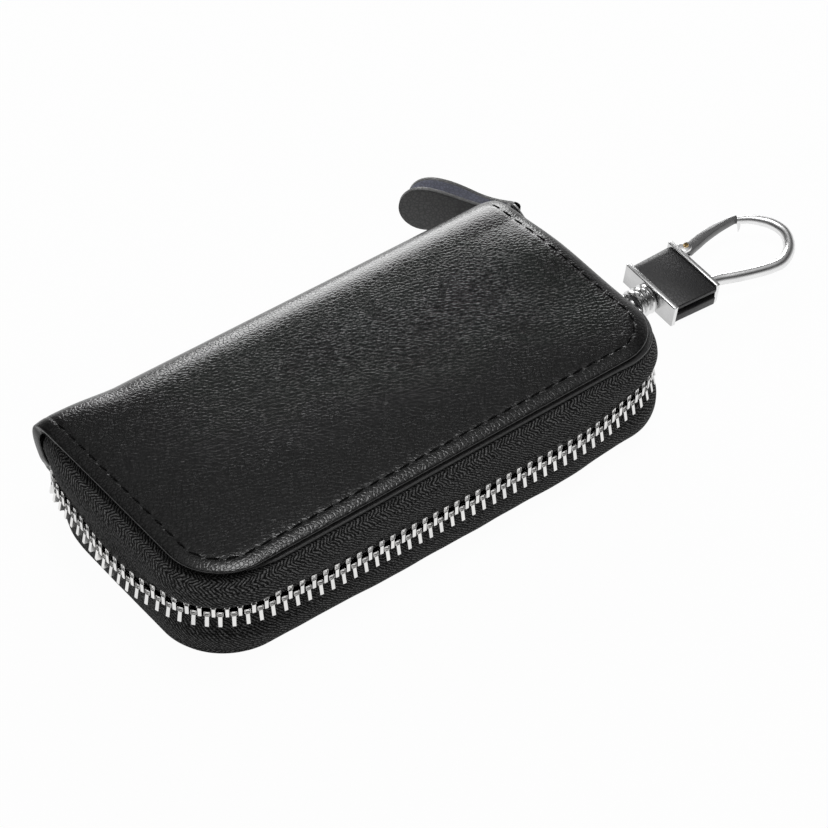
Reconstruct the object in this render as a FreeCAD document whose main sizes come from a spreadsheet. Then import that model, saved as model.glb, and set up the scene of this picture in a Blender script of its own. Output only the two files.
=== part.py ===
import FreeCAD, Part
import math
import os
import re

import Sketcher
from FreeCAD import Placement, Rotation, Vector

# Zip-around leather key case with a swivel snap hook on a strap.
# X runs along the spine towards the hook, Y from the zip front to the spine, Z up.
# The origin is the middle of the face the case rests on. Lengths are in millimetres.

SIZES = (
    ("panel_length", 114.0, "cover panel along the spine"),
    ("panel_width", 56.0, "cover panel from the zip front to the spine"),
    ("case_height", 22.5, "closed case over both cover panels"),
    ("corner_radius", 12.0, "front corners of a cover panel"),
    ("least_radius", 1.0, "smallest corner of an inner layer"),
    ("leather_thickness", 1.4, "outer leather"),
    ("crown_height", 1.4, "rise of the upper leather over its padding"),
    ("turn_in_thickness", 0.9, "leather turned under along the zip edge"),
    ("turn_in_width", 8.0, "reach of the turned edge"),
    ("edge_setback", 0.4, "turned edge behind the panel edge"),
    ("layer_gap", 0.4, "room round a layer that fills a frame"),
    ("lining_thickness", 0.6, "lining cloth"),
    ("lining_inset", 1.5, "lining behind the panel edge"),
    ("pocket_inset", 3.0, "card pocket behind the panel edge"),
    ("pocket_mouth", 16.0, "spine edge to the mouth of the card pocket"),
    ("spine_gap", 0.3, "slit between a panel and the spine"),
    ("spine_bow", 1.2, "outward bow of the spine"),
    ("spine_lining_inset", 2.5, "spine lining behind the spine's long edges"),
    ("tape_thickness", 0.8, "zip tape"),
    ("flange_width", 5.0, "zip tape sewn under a panel"),
    ("shoulder_radius", 3.0, "bend of the tape round the panel edge"),
    ("chain_offset", 2.4, "panel edge to the zip teeth"),
    ("tape_edge_gap", 1.9, "middle of the chain to the edge of a tape"),
    ("tape_setback", 0.5, "spine edge to the end of a tape"),
    ("tooth_pitch", 2.78, "tooth to tooth in one row"),
    ("tooth_width", 1.3, "tooth along the zip"),
    ("tooth_thickness", 2.4, "tooth across the tape"),
    ("tooth_height", 3.0, "tooth from its head to the end of its legs"),
    ("head_gap", 0.45, "middle of the chain to a tooth head"),
    ("tooth_slot", 1.0, "slot between the legs of a tooth"),
    ("slot_floor", 1.75, "middle of the chain to the floor of a slot"),
    ("chain_setback", 5.0, "spine edge to the first tooth"),
    ("stop_length", 1.8, "end stop along the zip"),
    ("stop_setback", 1.4, "spine edge to the middle of an end stop"),
    ("slider_length", 10.6, "zip slider along the zip"),
    ("slider_width", 10.0, "zip slider across the chain"),
    ("slider_plate", 1.0, "slider plate"),
    ("slider_clearance", 0.2, "slider plate to the teeth"),
    ("slider_skip", 1.6, "parked slider to the nearest upper tooth"),
    ("slider_setback", 3.2, "spine edge to the parked slider"),
    ("lip_height", 0.9, "folded edge of a slider plate"),
    ("tape_room", 1.4, "slot of the slider for a tape"),
    ("post_length", 2.5, "slider post along the zip"),
    ("post_thickness", 0.5, "slider post between the tooth rows"),
    ("bail_length", 6.0, "slider bail along the zip"),
    ("bail_height", 3.1, "slider bail above its plate"),
    ("bail_width", 2.2, "slider bail across the zip"),
    ("bail_thickness", 0.9, "slider bail stock"),
    ("bail_setback", 0.8, "slider end to the bail"),
    ("link_wire", 1.4, "wire of the pull link"),
    ("link_length", 9.4, "pull link between its two bars"),
    ("link_height", 8.4, "pull link between its two sides"),
    ("link_play", 0.15, "pull link in the bail"),
    ("link_angle", 73.0, "parked pull link from the X axis"),
    ("tab_thickness", 1.2, "leather of the pull tab"),
    ("tab_length", 25.0, "pull tab beyond its bar"),
    ("tab_width", 13.5, "round end of the pull tab"),
    ("tab_root_width", 4.8, "pull tab inside its link"),
    ("tab_angle", 136.6, "parked pull tab from the X axis"),
    ("fold_play", 0.2, "leather fold round a bar"),
    ("rail_margin", 4.5, "panel edge to an end of the key rail"),
    ("rail_end", 1.3, "rail end to the middle of its last knuckle"),
    ("rail_width", 9.0, "key rail plate behind the rod"),
    ("rail_plate", 1.0, "key rail plate"),
    ("rail_inset", 17.0, "panel end to the key rail rod"),
    ("rod_diameter", 1.6, "key rail rod"),
    ("rod_lift", 0.3, "knuckles above the lining"),
    ("rod_play", 0.1, "bore round the key rail rod"),
    ("knuckle_diameter", 3.4, "knuckle of the key rail or of a key hook"),
    ("key_gap", 0.6, "key hook to the next key hook"),
    ("key_eye_width", 3.4, "eye of a key hook along the rod"),
    ("key_shank", 5.0, "rod to the loop of a key hook"),
    ("key_loop_length", 14.0, "loop of a key hook"),
    ("key_loop_wall", 1.1, "stock of the loop of a key hook"),
    ("key_thickness", 1.2, "key hook stock"),
    ("key_slit", 0.4, "spring slit of a key hook"),
    ("rivet_head", 4.6, "rail rivet head"),
    ("rivet_head_height", 0.8, "rail rivet head"),
    ("rivet_shank", 2.2, "rail rivet shank"),
    ("rivet_play", 0.1, "hole round a rivet shank"),
    ("rivet_inset", 4.5, "rail end to a rivet"),
    ("hook_side", -1.2, "hook axis beside the middle of the case"),
    ("strap_width", 7.0, "hook strap"),
    ("strap_reach", 10.5, "panel edge to the eye bar"),
    ("strap_lap", 6.5, "eye bar to the start of the strap lap"),
    ("strap_play", 0.3, "strap beside its notch"),
    ("eye_wire", 1.8, "wire of the swivel eye"),
    ("eye_width", 9.8, "swivel eye between its sides"),
    ("eye_length", 3.4, "swivel eye between its bars"),
    ("post_core", 3.6, "swivel post"),
    ("rib_diameter", 6.8, "rib of the swivel post"),
    ("rib_length", 1.2, "rib of the swivel post"),
    ("rib_pitch", 1.7, "rib to rib"),
    ("rib_start", 0.5, "eye bar to the first rib"),
    ("swivel_play", 0.2, "post shoulder or head to its plate"),
    ("neck_diameter", 2.8, "swivel neck"),
    ("neck_play", 0.1, "bore round the swivel neck"),
    ("head_diameter", 4.0, "swivel head"),
    ("head_length", 0.8, "swivel head"),
    ("plate_thickness", 1.2, "end plate of the hook frame"),
    ("plate_width", 15.7, "end plate of the hook frame"),
    ("plate_height", 7.0, "end plate of the hook frame"),
    ("sleeve_length", 9.8, "leather sleeve between the end plates"),
    ("sleeve_play", 0.1, "sleeve to an end plate"),
    ("sleeve_width", 14.8, "leather sleeve across the hook"),
    ("sleeve_top", 6.8, "leather sleeve above the floor"),
    ("sleeve_upper", 1.2, "upper layer of the sleeve"),
    ("sleeve_slot", 1.7, "slot between the layers of the sleeve"),
    ("sleeve_lower", 2.4, "lower layer of the sleeve"),
    ("sleeve_fold", 1.3, "fold of the sleeve at its back"),
    ("sleeve_rod", 1.5, "side rod of the hook frame"),
    ("sleeve_rod_side", 4.6, "side rod beside the hook axis"),
    ("notch_width", 4.8, "notch of the sleeve for the swivel head"),
    ("notch_length", 1.6, "notch of the sleeve for the swivel head"),
    ("loop_wire", 2.8, "wire of the hook loop"),
    ("loop_radius", 8.3, "end bow of the hook loop"),
    ("loop_reach", 17.3, "frame to the middle of the end bow"),
    ("leg_side", 4.6, "leg of the hook loop beside the axis"),
    ("nose_angle", 75.0, "end of the hook nose from the X axis"),
    ("gate_height", 3.2, "gate of the hook"),
    ("gate_pivot_reach", 2.9, "frame to the gate pin"),
    ("gate_pivot_side", 5.2, "gate pin beside the hook axis"),
    ("knuckle_radius", 2.1, "gate round its pin"),
    ("tip_radius", 1.2, "tip of the gate"),
    ("tip_gap", 1.0, "tip of the gate to the nose"),
    ("ear_thickness", 1.1, "ear of the hook frame"),
    ("ear_gap", 0.2, "ear to the gate"),
    ("ear_width", 4.4, "ear of the hook frame"),
    ("pin_diameter", 1.5, "gate pin"),
    ("pin_play", 0.1, "bore round the gate pin"),
    ("spring_strip", 0.3, "rolled strip of the gate spring"),
    ("spring_radius", 1.35, "outside of the gate spring"),
    ("spring_slit", 0.5, "slit of the gate spring"),
    ("spring_height", 1.8, "gate spring along the pin"),
    ("spring_room_radius", 1.6, "pocket of the gate for its spring"),
    ("spring_room_height", 2.2, "pocket of the gate for its spring"),
    ("overrun", 1.0, "reach of a cut beyond the stock"),
)

KEY_HOOKS = 6

ALIASES = {alias for alias, _, _ in SIZES}

doc = FreeCAD.newDocument("KeyCase")
sheet = doc.addObject("Spreadsheet::Sheet", "Sizes")
for row, (alias, number, note) in enumerate(SIZES, start=1):
    sheet.set(f"A{row}", note)
    sheet.set(f"B{row}", str(number))
    sheet.setAlias(f"B{row}", alias)
doc.recompute()

finished = []


def cells(formula):
    """Turn a formula in size names into an expression on the sheet's cells."""
    return re.sub(r"[a-z_]+", lambda word: f"Sizes.{word[0]}" if word[0] in ALIASES else word[0], formula)


def value(formula):
    """Number that a formula in size names has on the sheet."""
    return float(sheet.evalExpression(cells(formula)))


def publish(item, label):
    """Name a finished sub-part; the label names its file too."""
    item.Label = label
    finished.append(item)
    return item


def set_base(item, x, y, z):
    """Bind where an object stands."""
    for axis, formula in zip("xyz", (x, y, z)):
        item.setExpression(f"Placement.Base.{axis}", cells(formula))


def block(name, lengths, base):
    """Box with bound lengths and corner."""
    item = doc.addObject("Part::Box", name)
    for side, formula in zip(("Length", "Width", "Height"), lengths):
        item.setExpression(side, cells(formula))
    set_base(item, *base)
    return item


TURNS = {
    "X": Rotation(Vector(0, 1, 0), 90),
    "Y": Rotation(Vector(1, 0, 0), -90),
    "Z": Rotation(),
}


def rod(name, diameter, length, base, axis):
    """Round bar with bound diameter and length, running from its base along one axis."""
    item = doc.addObject("Part::Cylinder", name)
    item.Placement = Placement(Vector(), TURNS[axis])
    item.setExpression("Radius", cells(f"({diameter}) / 2"))
    item.setExpression("Height", cells(length))
    set_base(item, *base)
    return item


def ball(name, diameter, base):
    """Ball that rounds the corner of a bent wire."""
    item = doc.addObject("Part::Sphere", name)
    item.setExpression("Radius", cells(f"({diameter}) / 2"))
    set_base(item, *base)
    return item


def fuse(name, *pieces):
    """Join pieces into one solid."""
    item = doc.addObject("Part::MultiFuse", name)
    item.Shapes = list(pieces)
    item.Refine = True
    return item


def cut(name, stock, tool):
    """Take a tool away from a stock."""
    item = doc.addObject("Part::Cut", name)
    item.Base = stock
    item.Tool = tool
    return item


def overlap(name, first, second):
    """Keep what two shapes share."""
    item = doc.addObject("Part::Common", name)
    item.Base = first
    item.Tool = second
    return item


def new_sketch(body, name, role, offset="0"):
    """Sketch on one of a body's own origin planes, moved along the plane's normal."""
    sketch = body.newObject("Sketcher::SketchObject", name)
    plane = next(item for item in body.Origin.OriginFeatures if item.Role == role)
    sketch.AttachmentSupport = [(plane, "")]
    sketch.MapMode = "FlatFace"
    sketch.setExpression("AttachmentOffset.Base.z", cells(offset))
    return sketch


def bind(sketch, formula, kind, *ends):
    """Add a size to a sketch and bind it to the sheet."""
    index = sketch.addConstraint(Sketcher.Constraint(kind, *ends, value(formula)))
    sketch.setExpression(f"Constraints[{index}]", cells(formula))


def line(start, end):
    """Straight sketch edge."""
    return Part.LineSegment(Vector(*start, 0), Vector(*end, 0))


def arc(centre, radius, start, end):
    """Round sketch edge, counter-clockwise between two angles in degrees."""
    circle = Part.Circle(Vector(*centre, 0), Vector(0, 0, 1), radius)
    return Part.ArcOfCircle(circle, math.radians(start), math.radians(end))


def on_circle(centre, radius, angle):
    """Point of a circle at an angle in degrees."""
    turn = math.radians(angle)
    return (centre[0] + radius * math.cos(turn), centre[1] + radius * math.sin(turn))


def trace(sketch, edges, closed=True):
    """Add a chain of edges and join their ends; each edge is (geometry, runs_backwards)."""
    numbers = [sketch.addGeometry(edge) for edge, _ in edges]
    flips = [backwards for _, backwards in edges]
    count = len(edges)
    for place in range(count if closed else count - 1):
        follower = (place + 1) % count
        leaving = 1 if flips[place] else 2
        entering = 2 if flips[follower] else 1
        sketch.addConstraint(
            Sketcher.Constraint("Coincident", numbers[place], leaving, numbers[follower], entering)
        )
    return numbers


def square_up(sketch, level=(), upright=()):
    """Keep edges level or upright."""
    for number in level:
        sketch.addConstraint(Sketcher.Constraint("Horizontal", number))
    for number in upright:
        sketch.addConstraint(Sketcher.Constraint("Vertical", number))


def pad(body, sketch, length):
    """Raise a sketch by a bound length."""
    feature = body.newObject("PartDesign::Pad", f"{sketch.Name}_pad")
    feature.Profile = sketch
    feature.setExpression("Length", cells(length))
    sketch.Visibility = False
    return feature


def pocket(body, sketch):
    """Cut a sketch upwards through the whole body."""
    feature = body.newObject("PartDesign::Pocket", f"{sketch.Name}_cut")
    feature.Profile = sketch
    feature.Type = "ThroughAll"
    feature.Reversed = True
    return feature


ORIGIN = (-1, 1)
CHAIN_X = "(panel_length / 2 + chain_offset)"
MIDDLE_Z = "(case_height / 2)"
LOWER = "lower"
UPPER = "upper"
COVERS = (LOWER, UPPER)


def layer_level(cover, depth, thickness):
    """Height of the lower face of a layer that lies at a depth under its cover's outer face."""
    if cover == LOWER:
        return depth
    return f"case_height - ({depth}) - ({thickness})"


def panel_outline(sketch, inset, back_inset):
    """Outline square at the spine and rounded at the two front corners."""
    half = f"(panel_length / 2 - ({inset}))"
    front = f"(panel_width / 2 - ({inset}))"
    back = f"(panel_width / 2 - ({back_inset}))"
    radius = f"max(corner_radius - ({inset}); least_radius)"
    a, b, c, r = (value(formula) for formula in (half, back, front, radius))
    spine, right, right_turn, nose, left_turn, left = trace(sketch, (
        (line((-a, b), (a, b)), False),
        (line((a, b), (a, r - c)), False),
        (arc((a - r, r - c), r, 270, 360), True),
        (line((a - r, -c), (r - a, -c)), False),
        (arc((r - a, r - c), r, 180, 270), True),
        (line((-a, r - c), (-a, b)), False),
    ))
    square_up(sketch, level=(spine, nose), upright=(right, left))
    sketch.addConstraint(Sketcher.Constraint("Equal", right_turn, left_turn))
    sketch.addConstraint(Sketcher.Constraint("Vertical", right_turn, 3, right_turn, 1))
    sketch.addConstraint(Sketcher.Constraint("Horizontal", right_turn, 3, right_turn, 2))
    sketch.addConstraint(Sketcher.Constraint("Vertical", left_turn, 3, left_turn, 2))
    sketch.addConstraint(Sketcher.Constraint("Horizontal", left_turn, 3, left_turn, 1))
    bind(sketch, radius, "Radius", right_turn)
    bind(sketch, half, "DistanceX", *ORIGIN, spine, 2)
    bind(sketch, half, "DistanceX", spine, 1, *ORIGIN)
    bind(sketch, back, "DistanceY", *ORIGIN, spine, 1)
    bind(sketch, front, "DistanceY", nose, 1, *ORIGIN)


def panel_layer(name, inset, back_inset, level, thickness):
    """Flat layer of a cover."""
    body = doc.addObject("PartDesign::Body", name)
    sketch = new_sketch(body, f"{name}_outline", "XY_Plane", level)
    panel_outline(sketch, inset, back_inset)
    pad(body, sketch, thickness)
    return body


RAIL_LENGTH = "(panel_width - 2 * rail_margin)"
KEY_PITCH = f"(({RAIL_LENGTH} - 2 * rail_end) / {KEY_HOOKS})"
KEY_WIDTH = f"({KEY_PITCH} - key_gap)"


def rivet_places():
    """Middles of the two rail rivets."""
    x = "panel_length / 2 - rail_inset + rail_width / 2 + knuckle_diameter / 4"
    return ((x, f"{RAIL_LENGTH} / 2 - rivet_inset"), (x, f"rivet_inset - {RAIL_LENGTH} / 2"))


def rivet_holes(body, name, level):
    """Cut the two rivet holes through a layer of the lower cover."""
    sketch = new_sketch(body, f"{name}_holes", "XY_Plane", level)
    for x, y in rivet_places():
        radius = "rivet_shank / 2 + rivet_play"
        hole = sketch.addGeometry(Part.Circle(Vector(value(x), value(y), 0), Vector(0, 0, 1), value(radius)))
        bind(sketch, radius, "Radius", hole)
        bind(sketch, x, "DistanceX", *ORIGIN, hole, 3)
        if value(y) > 0:
            bind(sketch, y, "DistanceY", *ORIGIN, hole, 3)
        else:
            bind(sketch, f"-({y})", "DistanceY", hole, 3, *ORIGIN)
    pocket(body, sketch)


def upper_leather():
    """Upper panel, crowned from the spine to the zip front over its padding."""
    level = layer_level(UPPER, "0", "leather_thickness")
    stock = panel_layer("upper_leather_stock", "0", "0", level, "leather_thickness + crown_height")
    body = doc.addObject("PartDesign::Body", "upper_leather_bow")
    sketch = new_sketch(body, "upper_leather_section", "YZ_Plane", "-panel_length / 2 - overrun")
    half, top, rise = value("panel_width / 2"), value("case_height"), value("crown_height")
    low = value(level)
    radius = (half**2 + rise**2) / (2 * rise)
    spread = math.degrees(math.asin(half / radius))
    centre = (0, top + rise - radius)
    front, crown, back, base = trace(sketch, (
        (line((-half, low), (-half, top)), False),
        (arc(centre, radius, 90 - spread, 90 + spread), True),
        (line((half, top), (half, low)), False),
        (line((half, low), (-half, low)), False),
    ))
    square_up(sketch, level=(base,), upright=(front, back))
    bind(sketch, "panel_width / 2", "DistanceX", base, 2, *ORIGIN)
    bind(sketch, "panel_width / 2", "DistanceX", *ORIGIN, base, 1)
    bind(sketch, level, "DistanceY", *ORIGIN, base, 1)
    bind(sketch, "case_height", "DistanceY", *ORIGIN, front, 2)
    bind(sketch, "case_height", "DistanceY", *ORIGIN, back, 1)
    bind(sketch, "((panel_width / 2)^2 + crown_height^2) / (2 * crown_height)", "Radius", crown)
    pad(body, sketch, "panel_length + 2 * overrun")
    return overlap("upper_leather", stock, body)


def turn_in(cover):
    """Leather turned under along the zip edge of a cover, open at the spine."""
    level = layer_level(cover, "leather_thickness", "turn_in_thickness")
    body = panel_layer(f"{cover}_turn_in_ring", "edge_setback", "edge_setback", level, "turn_in_thickness")
    sketch = new_sketch(body, f"{cover}_turn_in_inside", "XY_Plane", level)
    panel_outline(sketch, "turn_in_width", "-overrun")
    pocket(body, sketch)
    if cover == UPPER:
        return body
    notch = block(
        "strap_notch",
        ("turn_in_width + overrun", "strap_width + 2 * strap_play", "turn_in_thickness + 2 * overrun"),
        ("panel_length / 2 - turn_in_width", "hook_side - strap_width / 2 - strap_play",
         f"{level} - overrun"),
    )
    return cut("lower_turn_in", body, notch)


def cover_layers(cover):
    """All flat layers of one cover, from its outer leather to its lining."""
    if cover == UPPER:
        publish(upper_leather(), "upper_leather")
    else:
        publish(panel_layer("lower_leather", "0", "0", "0", "leather_thickness"), "lower_leather")
    publish(turn_in(cover), f"{cover}_turned_edge")

    level = layer_level(cover, "leather_thickness", "turn_in_thickness")
    board = panel_layer(
        f"{cover}_board_stock", "turn_in_width + layer_gap", "edge_setback", level, "turn_in_thickness"
    )
    publish(board, f"{cover}_board")

    depth = "leather_thickness + turn_in_thickness"
    level = layer_level(cover, depth, "tape_thickness")
    wadding = panel_layer(
        f"{cover}_wadding_stock", "flange_width + layer_gap", "edge_setback", level, "tape_thickness"
    )
    if cover == LOWER:
        rivet_holes(wadding, "wadding", level)
    publish(wadding, f"{cover}_wadding")

    depth = "leather_thickness + turn_in_thickness + tape_thickness"
    level = layer_level(cover, depth, "lining_thickness")
    lining = panel_layer(f"{cover}_lining_stock", "lining_inset", "lining_inset", level, "lining_thickness")
    if cover == LOWER:
        rivet_holes(lining, "lining", level)
    publish(lining, f"{cover}_lining")


def card_pocket():
    """Card pocket sewn on the upper lining, with its mouth towards the spine."""
    depth = "leather_thickness + turn_in_thickness + tape_thickness + lining_thickness"
    level = layer_level(UPPER, depth, "lining_thickness")
    body = panel_layer("card_pocket_stock", "pocket_inset", "pocket_mouth", level, "lining_thickness")
    publish(body, "card_pocket")


def spine():
    """Bowed leather spine and its flat lining."""
    body = doc.addObject("PartDesign::Body", "spine_leather_stock")
    sketch = new_sketch(body, "spine_section", "YZ_Plane", "-panel_length / 2")
    inner = "(panel_width / 2 + spine_gap)"
    foot = "(leather_thickness + spine_gap)"
    top = "(case_height - leather_thickness - spine_gap)"
    bow_radius = f"((({top} - {foot}) / 2)^2 + spine_bow^2) / (2 * spine_bow)"
    y, low, high, radius = (value(formula) for formula in (inner, foot, top, bow_radius))
    depth = value("leather_thickness")
    spread = math.degrees(math.asin((high - low) / 2 / radius))
    middle = y + value("spine_bow") - radius
    near, roof, far, floor = trace(sketch, (
        (arc((middle, (low + high) / 2), radius, -spread, spread), False),
        (line((y, high), (y + depth, high)), False),
        (arc((middle + depth, (low + high) / 2), radius, -spread, spread), True),
        (line((y + depth, low), (y, low)), False),
    ))
    square_up(sketch, level=(roof, floor))
    sketch.addConstraint(Sketcher.Constraint("Equal", near, far))
    bind(sketch, bow_radius, "Radius", near)
    bind(sketch, inner, "DistanceX", *ORIGIN, near, 1)
    bind(sketch, inner, "DistanceX", *ORIGIN, near, 2)
    bind(sketch, foot, "DistanceY", *ORIGIN, near, 1)
    bind(sketch, top, "DistanceY", *ORIGIN, near, 2)
    bind(sketch, "leather_thickness", "DistanceX", roof, 1, roof, 2)
    bind(sketch, "leather_thickness", "DistanceX", floor, 2, floor, 1)
    pad(body, sketch, "panel_length")
    publish(body, "spine_leather")

    lining = block(
        "spine_lining_stock",
        ("panel_length - 2 * lining_inset", "lining_thickness", f"{top} - {foot} - 2 * spine_lining_inset"),
        ("lining_inset - panel_length / 2", f"{inner} - lining_thickness", f"{foot} + spine_lining_inset"),
    )
    publish(lining, "spine_lining")


def tape(cover):
    """Zip tape: sewn flange, shoulder round the panel edge and wall down to the teeth."""
    body = doc.addObject("PartDesign::Body", f"{cover}_tape_stock")
    back = "(panel_width / 2 - tape_setback)"
    front = "(panel_width / 2 + chain_offset)"
    turn = "(corner_radius + chain_offset)"
    a, b, c, r = (value(formula) for formula in (CHAIN_X, back, front, turn))
    path = new_sketch(body, f"{cover}_tape_path", "XY_Plane")
    left, left_turn, nose, right_turn, right = trace(path, (
        (line((-a, b), (-a, r - c)), False),
        (arc((r - a, r - c), r, 180, 270), False),
        (line((r - a, -c), (a - r, -c)), False),
        (arc((a - r, r - c), r, 270, 360), False),
        (line((a, r - c), (a, b)), False),
    ), closed=False)
    square_up(path, level=(nose,), upright=(left, right))
    path.addConstraint(Sketcher.Constraint("Equal", left_turn, right_turn))
    path.addConstraint(Sketcher.Constraint("Horizontal", left_turn, 3, left_turn, 1))
    path.addConstraint(Sketcher.Constraint("Vertical", left_turn, 3, left_turn, 2))
    path.addConstraint(Sketcher.Constraint("Vertical", right_turn, 3, right_turn, 1))
    path.addConstraint(Sketcher.Constraint("Horizontal", right_turn, 3, right_turn, 2))
    bind(path, turn, "Radius", left_turn)
    bind(path, CHAIN_X, "DistanceX", left, 1, *ORIGIN)
    bind(path, CHAIN_X, "DistanceX", *ORIGIN, right, 2)
    bind(path, back, "DistanceY", *ORIGIN, left, 1)
    bind(path, back, "DistanceY", *ORIGIN, right, 2)
    bind(path, front, "DistanceY", nose, 1, *ORIGIN)

    section = new_sketch(body, f"{cover}_tape_section", "XZ_Plane", f"-{back}")
    sense = -1 if cover == LOWER else 1
    sew = "(case_height / 2 - leather_thickness - turn_in_thickness - tape_thickness / 2)"
    middle = value(MIDDLE_Z)
    thick = value("tape_thickness")
    flange = value("-panel_length / 2 + flange_width")
    bend = value("-panel_length / 2 - chain_offset + shoulder_radius")
    wall = value(f"-{CHAIN_X}")
    level = middle + sense * value(sew)
    pivot = middle + sense * value(f"{sew} - shoulder_radius")
    edge = middle + sense * value("tape_edge_gap")
    half = thick / 2
    start, end = (90, 180) if cover == UPPER else (180, 270)
    backwards = cover == LOWER
    reach = value("shoulder_radius")
    outer_flange, outer_bend, outer_wall, tip, inner_wall, inner_bend, inner_flange, root = trace(section, (
        (line((flange, level + sense * half), (bend, level + sense * half)), False),
        (arc((bend, pivot), reach + half, start, end), backwards),
        (line((wall - half, pivot), (wall - half, edge)), False),
        (line((wall - half, edge), (wall + half, edge)), False),
        (line((wall + half, edge), (wall + half, pivot)), False),
        (arc((bend, pivot), reach - half, start, end), not backwards),
        (line((bend, level - sense * half), (flange, level - sense * half)), False),
        (line((flange, level - sense * half), (flange, level + sense * half)), False),
    ))
    square_up(section, level=(outer_flange, tip, inner_flange), upright=(outer_wall, inner_wall, root))
    at_flange, at_wall = (2, 1) if backwards else (1, 2)
    for bent in (outer_bend, inner_bend):
        section.addConstraint(Sketcher.Constraint("Vertical", bent, 3, bent, at_flange))
        section.addConstraint(Sketcher.Constraint("Horizontal", bent, 3, bent, at_wall))
    section.addConstraint(Sketcher.Constraint("Coincident", outer_bend, 3, inner_bend, 3))
    bind(section, "shoulder_radius + tape_thickness / 2", "Radius", outer_bend)
    bind(section, "shoulder_radius - tape_thickness / 2", "Radius", inner_bend)
    bind(section, f"{CHAIN_X} - shoulder_radius", "DistanceX", outer_bend, 3, *ORIGIN)
    bind(section, "panel_length / 2 - flange_width", "DistanceX", root, 1, *ORIGIN)

    sweep = body.newObject("PartDesign::AdditivePipe", f"{cover}_tape_sweep")
    sweep.Profile = section
    sweep.Spine = (path, [f"Edge{number}" for number in range(1, 6)])
    publish(body, f"{cover}_tape")


def zip_station(distance):
    """Point and heading, in degrees, at a distance along the chain from its left end."""
    a, c = value(CHAIN_X), value("panel_width / 2 + chain_offset")
    r = value("corner_radius + chain_offset")
    side = value("panel_width / 2 - chain_setback") + c - r
    bend = r * math.pi / 2
    nose = 2 * (a - r)
    if distance <= side:
        return Vector(-a, value("panel_width / 2 - chain_setback") - distance, 0), -90
    distance -= side
    if distance <= bend:
        angle = 180 + math.degrees(distance / r)
        return Vector(*on_circle((r - a, r - c), r, angle), 0), angle - 270
    distance -= bend
    if distance <= nose:
        return Vector(r - a + distance, -c, 0), 0
    distance -= nose
    if distance <= bend:
        angle = 270 + math.degrees(distance / r)
        return Vector(*on_circle((a - r, r - c), r, angle), 0), angle - 270
    return Vector(a, r - c + distance - bend, 0), 90


def chain_length():
    """Length of the chain from its left end to its right end."""
    a, c = value(CHAIN_X), value("panel_width / 2 + chain_offset")
    r = value("corner_radius + chain_offset")
    side = value("panel_width / 2 - chain_setback") + c - r
    return 2 * side + math.pi * r + 2 * (a - r)


def clamp(cover, length):
    """Metal clamp on a tape's edge, heading along X, in the middle of the chain."""
    half = value("tooth_thickness / 2")
    slot = value("tooth_slot / 2")
    head, foot = value("head_gap"), value("head_gap + tooth_height")
    floor = value("slot_floor")
    sense = -1 if cover == LOWER else 1
    corners = (
        (-half, head), (half, head), (half, foot), (slot, foot),
        (slot, floor), (-slot, floor), (-slot, foot), (-half, foot),
    )
    ring = [Vector(-length / 2, y, sense * z) for y, z in corners]
    face = Part.Face(Part.makePolygon(ring + ring[:1]))
    return face.extrude(Vector(length, 0, 0))


def teeth(cover):
    """One row of zip teeth; the upper row leaves out the teeth inside the parked slider."""
    pitch, width = value("tooth_pitch"), value("tooth_width")
    count = int(chain_length() / pitch)
    lead = (chain_length() - (count - 1) * pitch) / 2
    slider = value("panel_width / 2 - slider_setback - slider_length - slider_skip - tooth_width / 2")
    middle = value(MIDDLE_Z)
    row = []
    for number in range(count):
        shift = 0 if cover == LOWER else pitch / 2
        point, heading = zip_station(lead + number * pitch - shift)
        parked = cover == UPPER and point.x > 0 and point.y > slider
        if parked:
            continue
        tooth = clamp(cover, width)
        tooth.Placement = Placement(Vector(point.x, point.y, middle), Rotation(Vector(0, 0, 1), heading))
        row.append(tooth)
    item = doc.addObject("Part::Feature", f"{cover}_teeth_row")
    item.Shape = Part.makeCompound(row)
    publish(item, f"{cover}_teeth")


def end_stops(cover):
    """Stops at both ends of a tape."""
    y = value("panel_width / 2 - stop_setback")
    stops = []
    for side in (-1, 1):
        stop = clamp(cover, value("stop_length"))
        place = Vector(side * value(CHAIN_X), y, value(MIDDLE_Z))
        stop.Placement = Placement(place, Rotation(Vector(0, 0, 1), 90))
        stops.append(stop)
    item = doc.addObject("Part::Feature", f"{cover}_stop_pair")
    item.Shape = Part.makeCompound(stops)
    publish(item, f"{cover}_end_stops")


SLIDER_END = "(panel_width / 2 - slider_setback)"
SLIDER_START = "(panel_width / 2 - slider_setback - slider_length)"
SLIDER_ROOM = "(tooth_thickness / 2 + slider_clearance)"
SLIDER_FACE = f"({CHAIN_X} + {SLIDER_ROOM} + slider_plate)"
LINK_X = f"({SLIDER_FACE} + (bail_height - bail_thickness) / 2)"
LINK_Y = f"({SLIDER_END} - bail_setback - bail_thickness - link_wire / 2 - link_play)"


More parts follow.
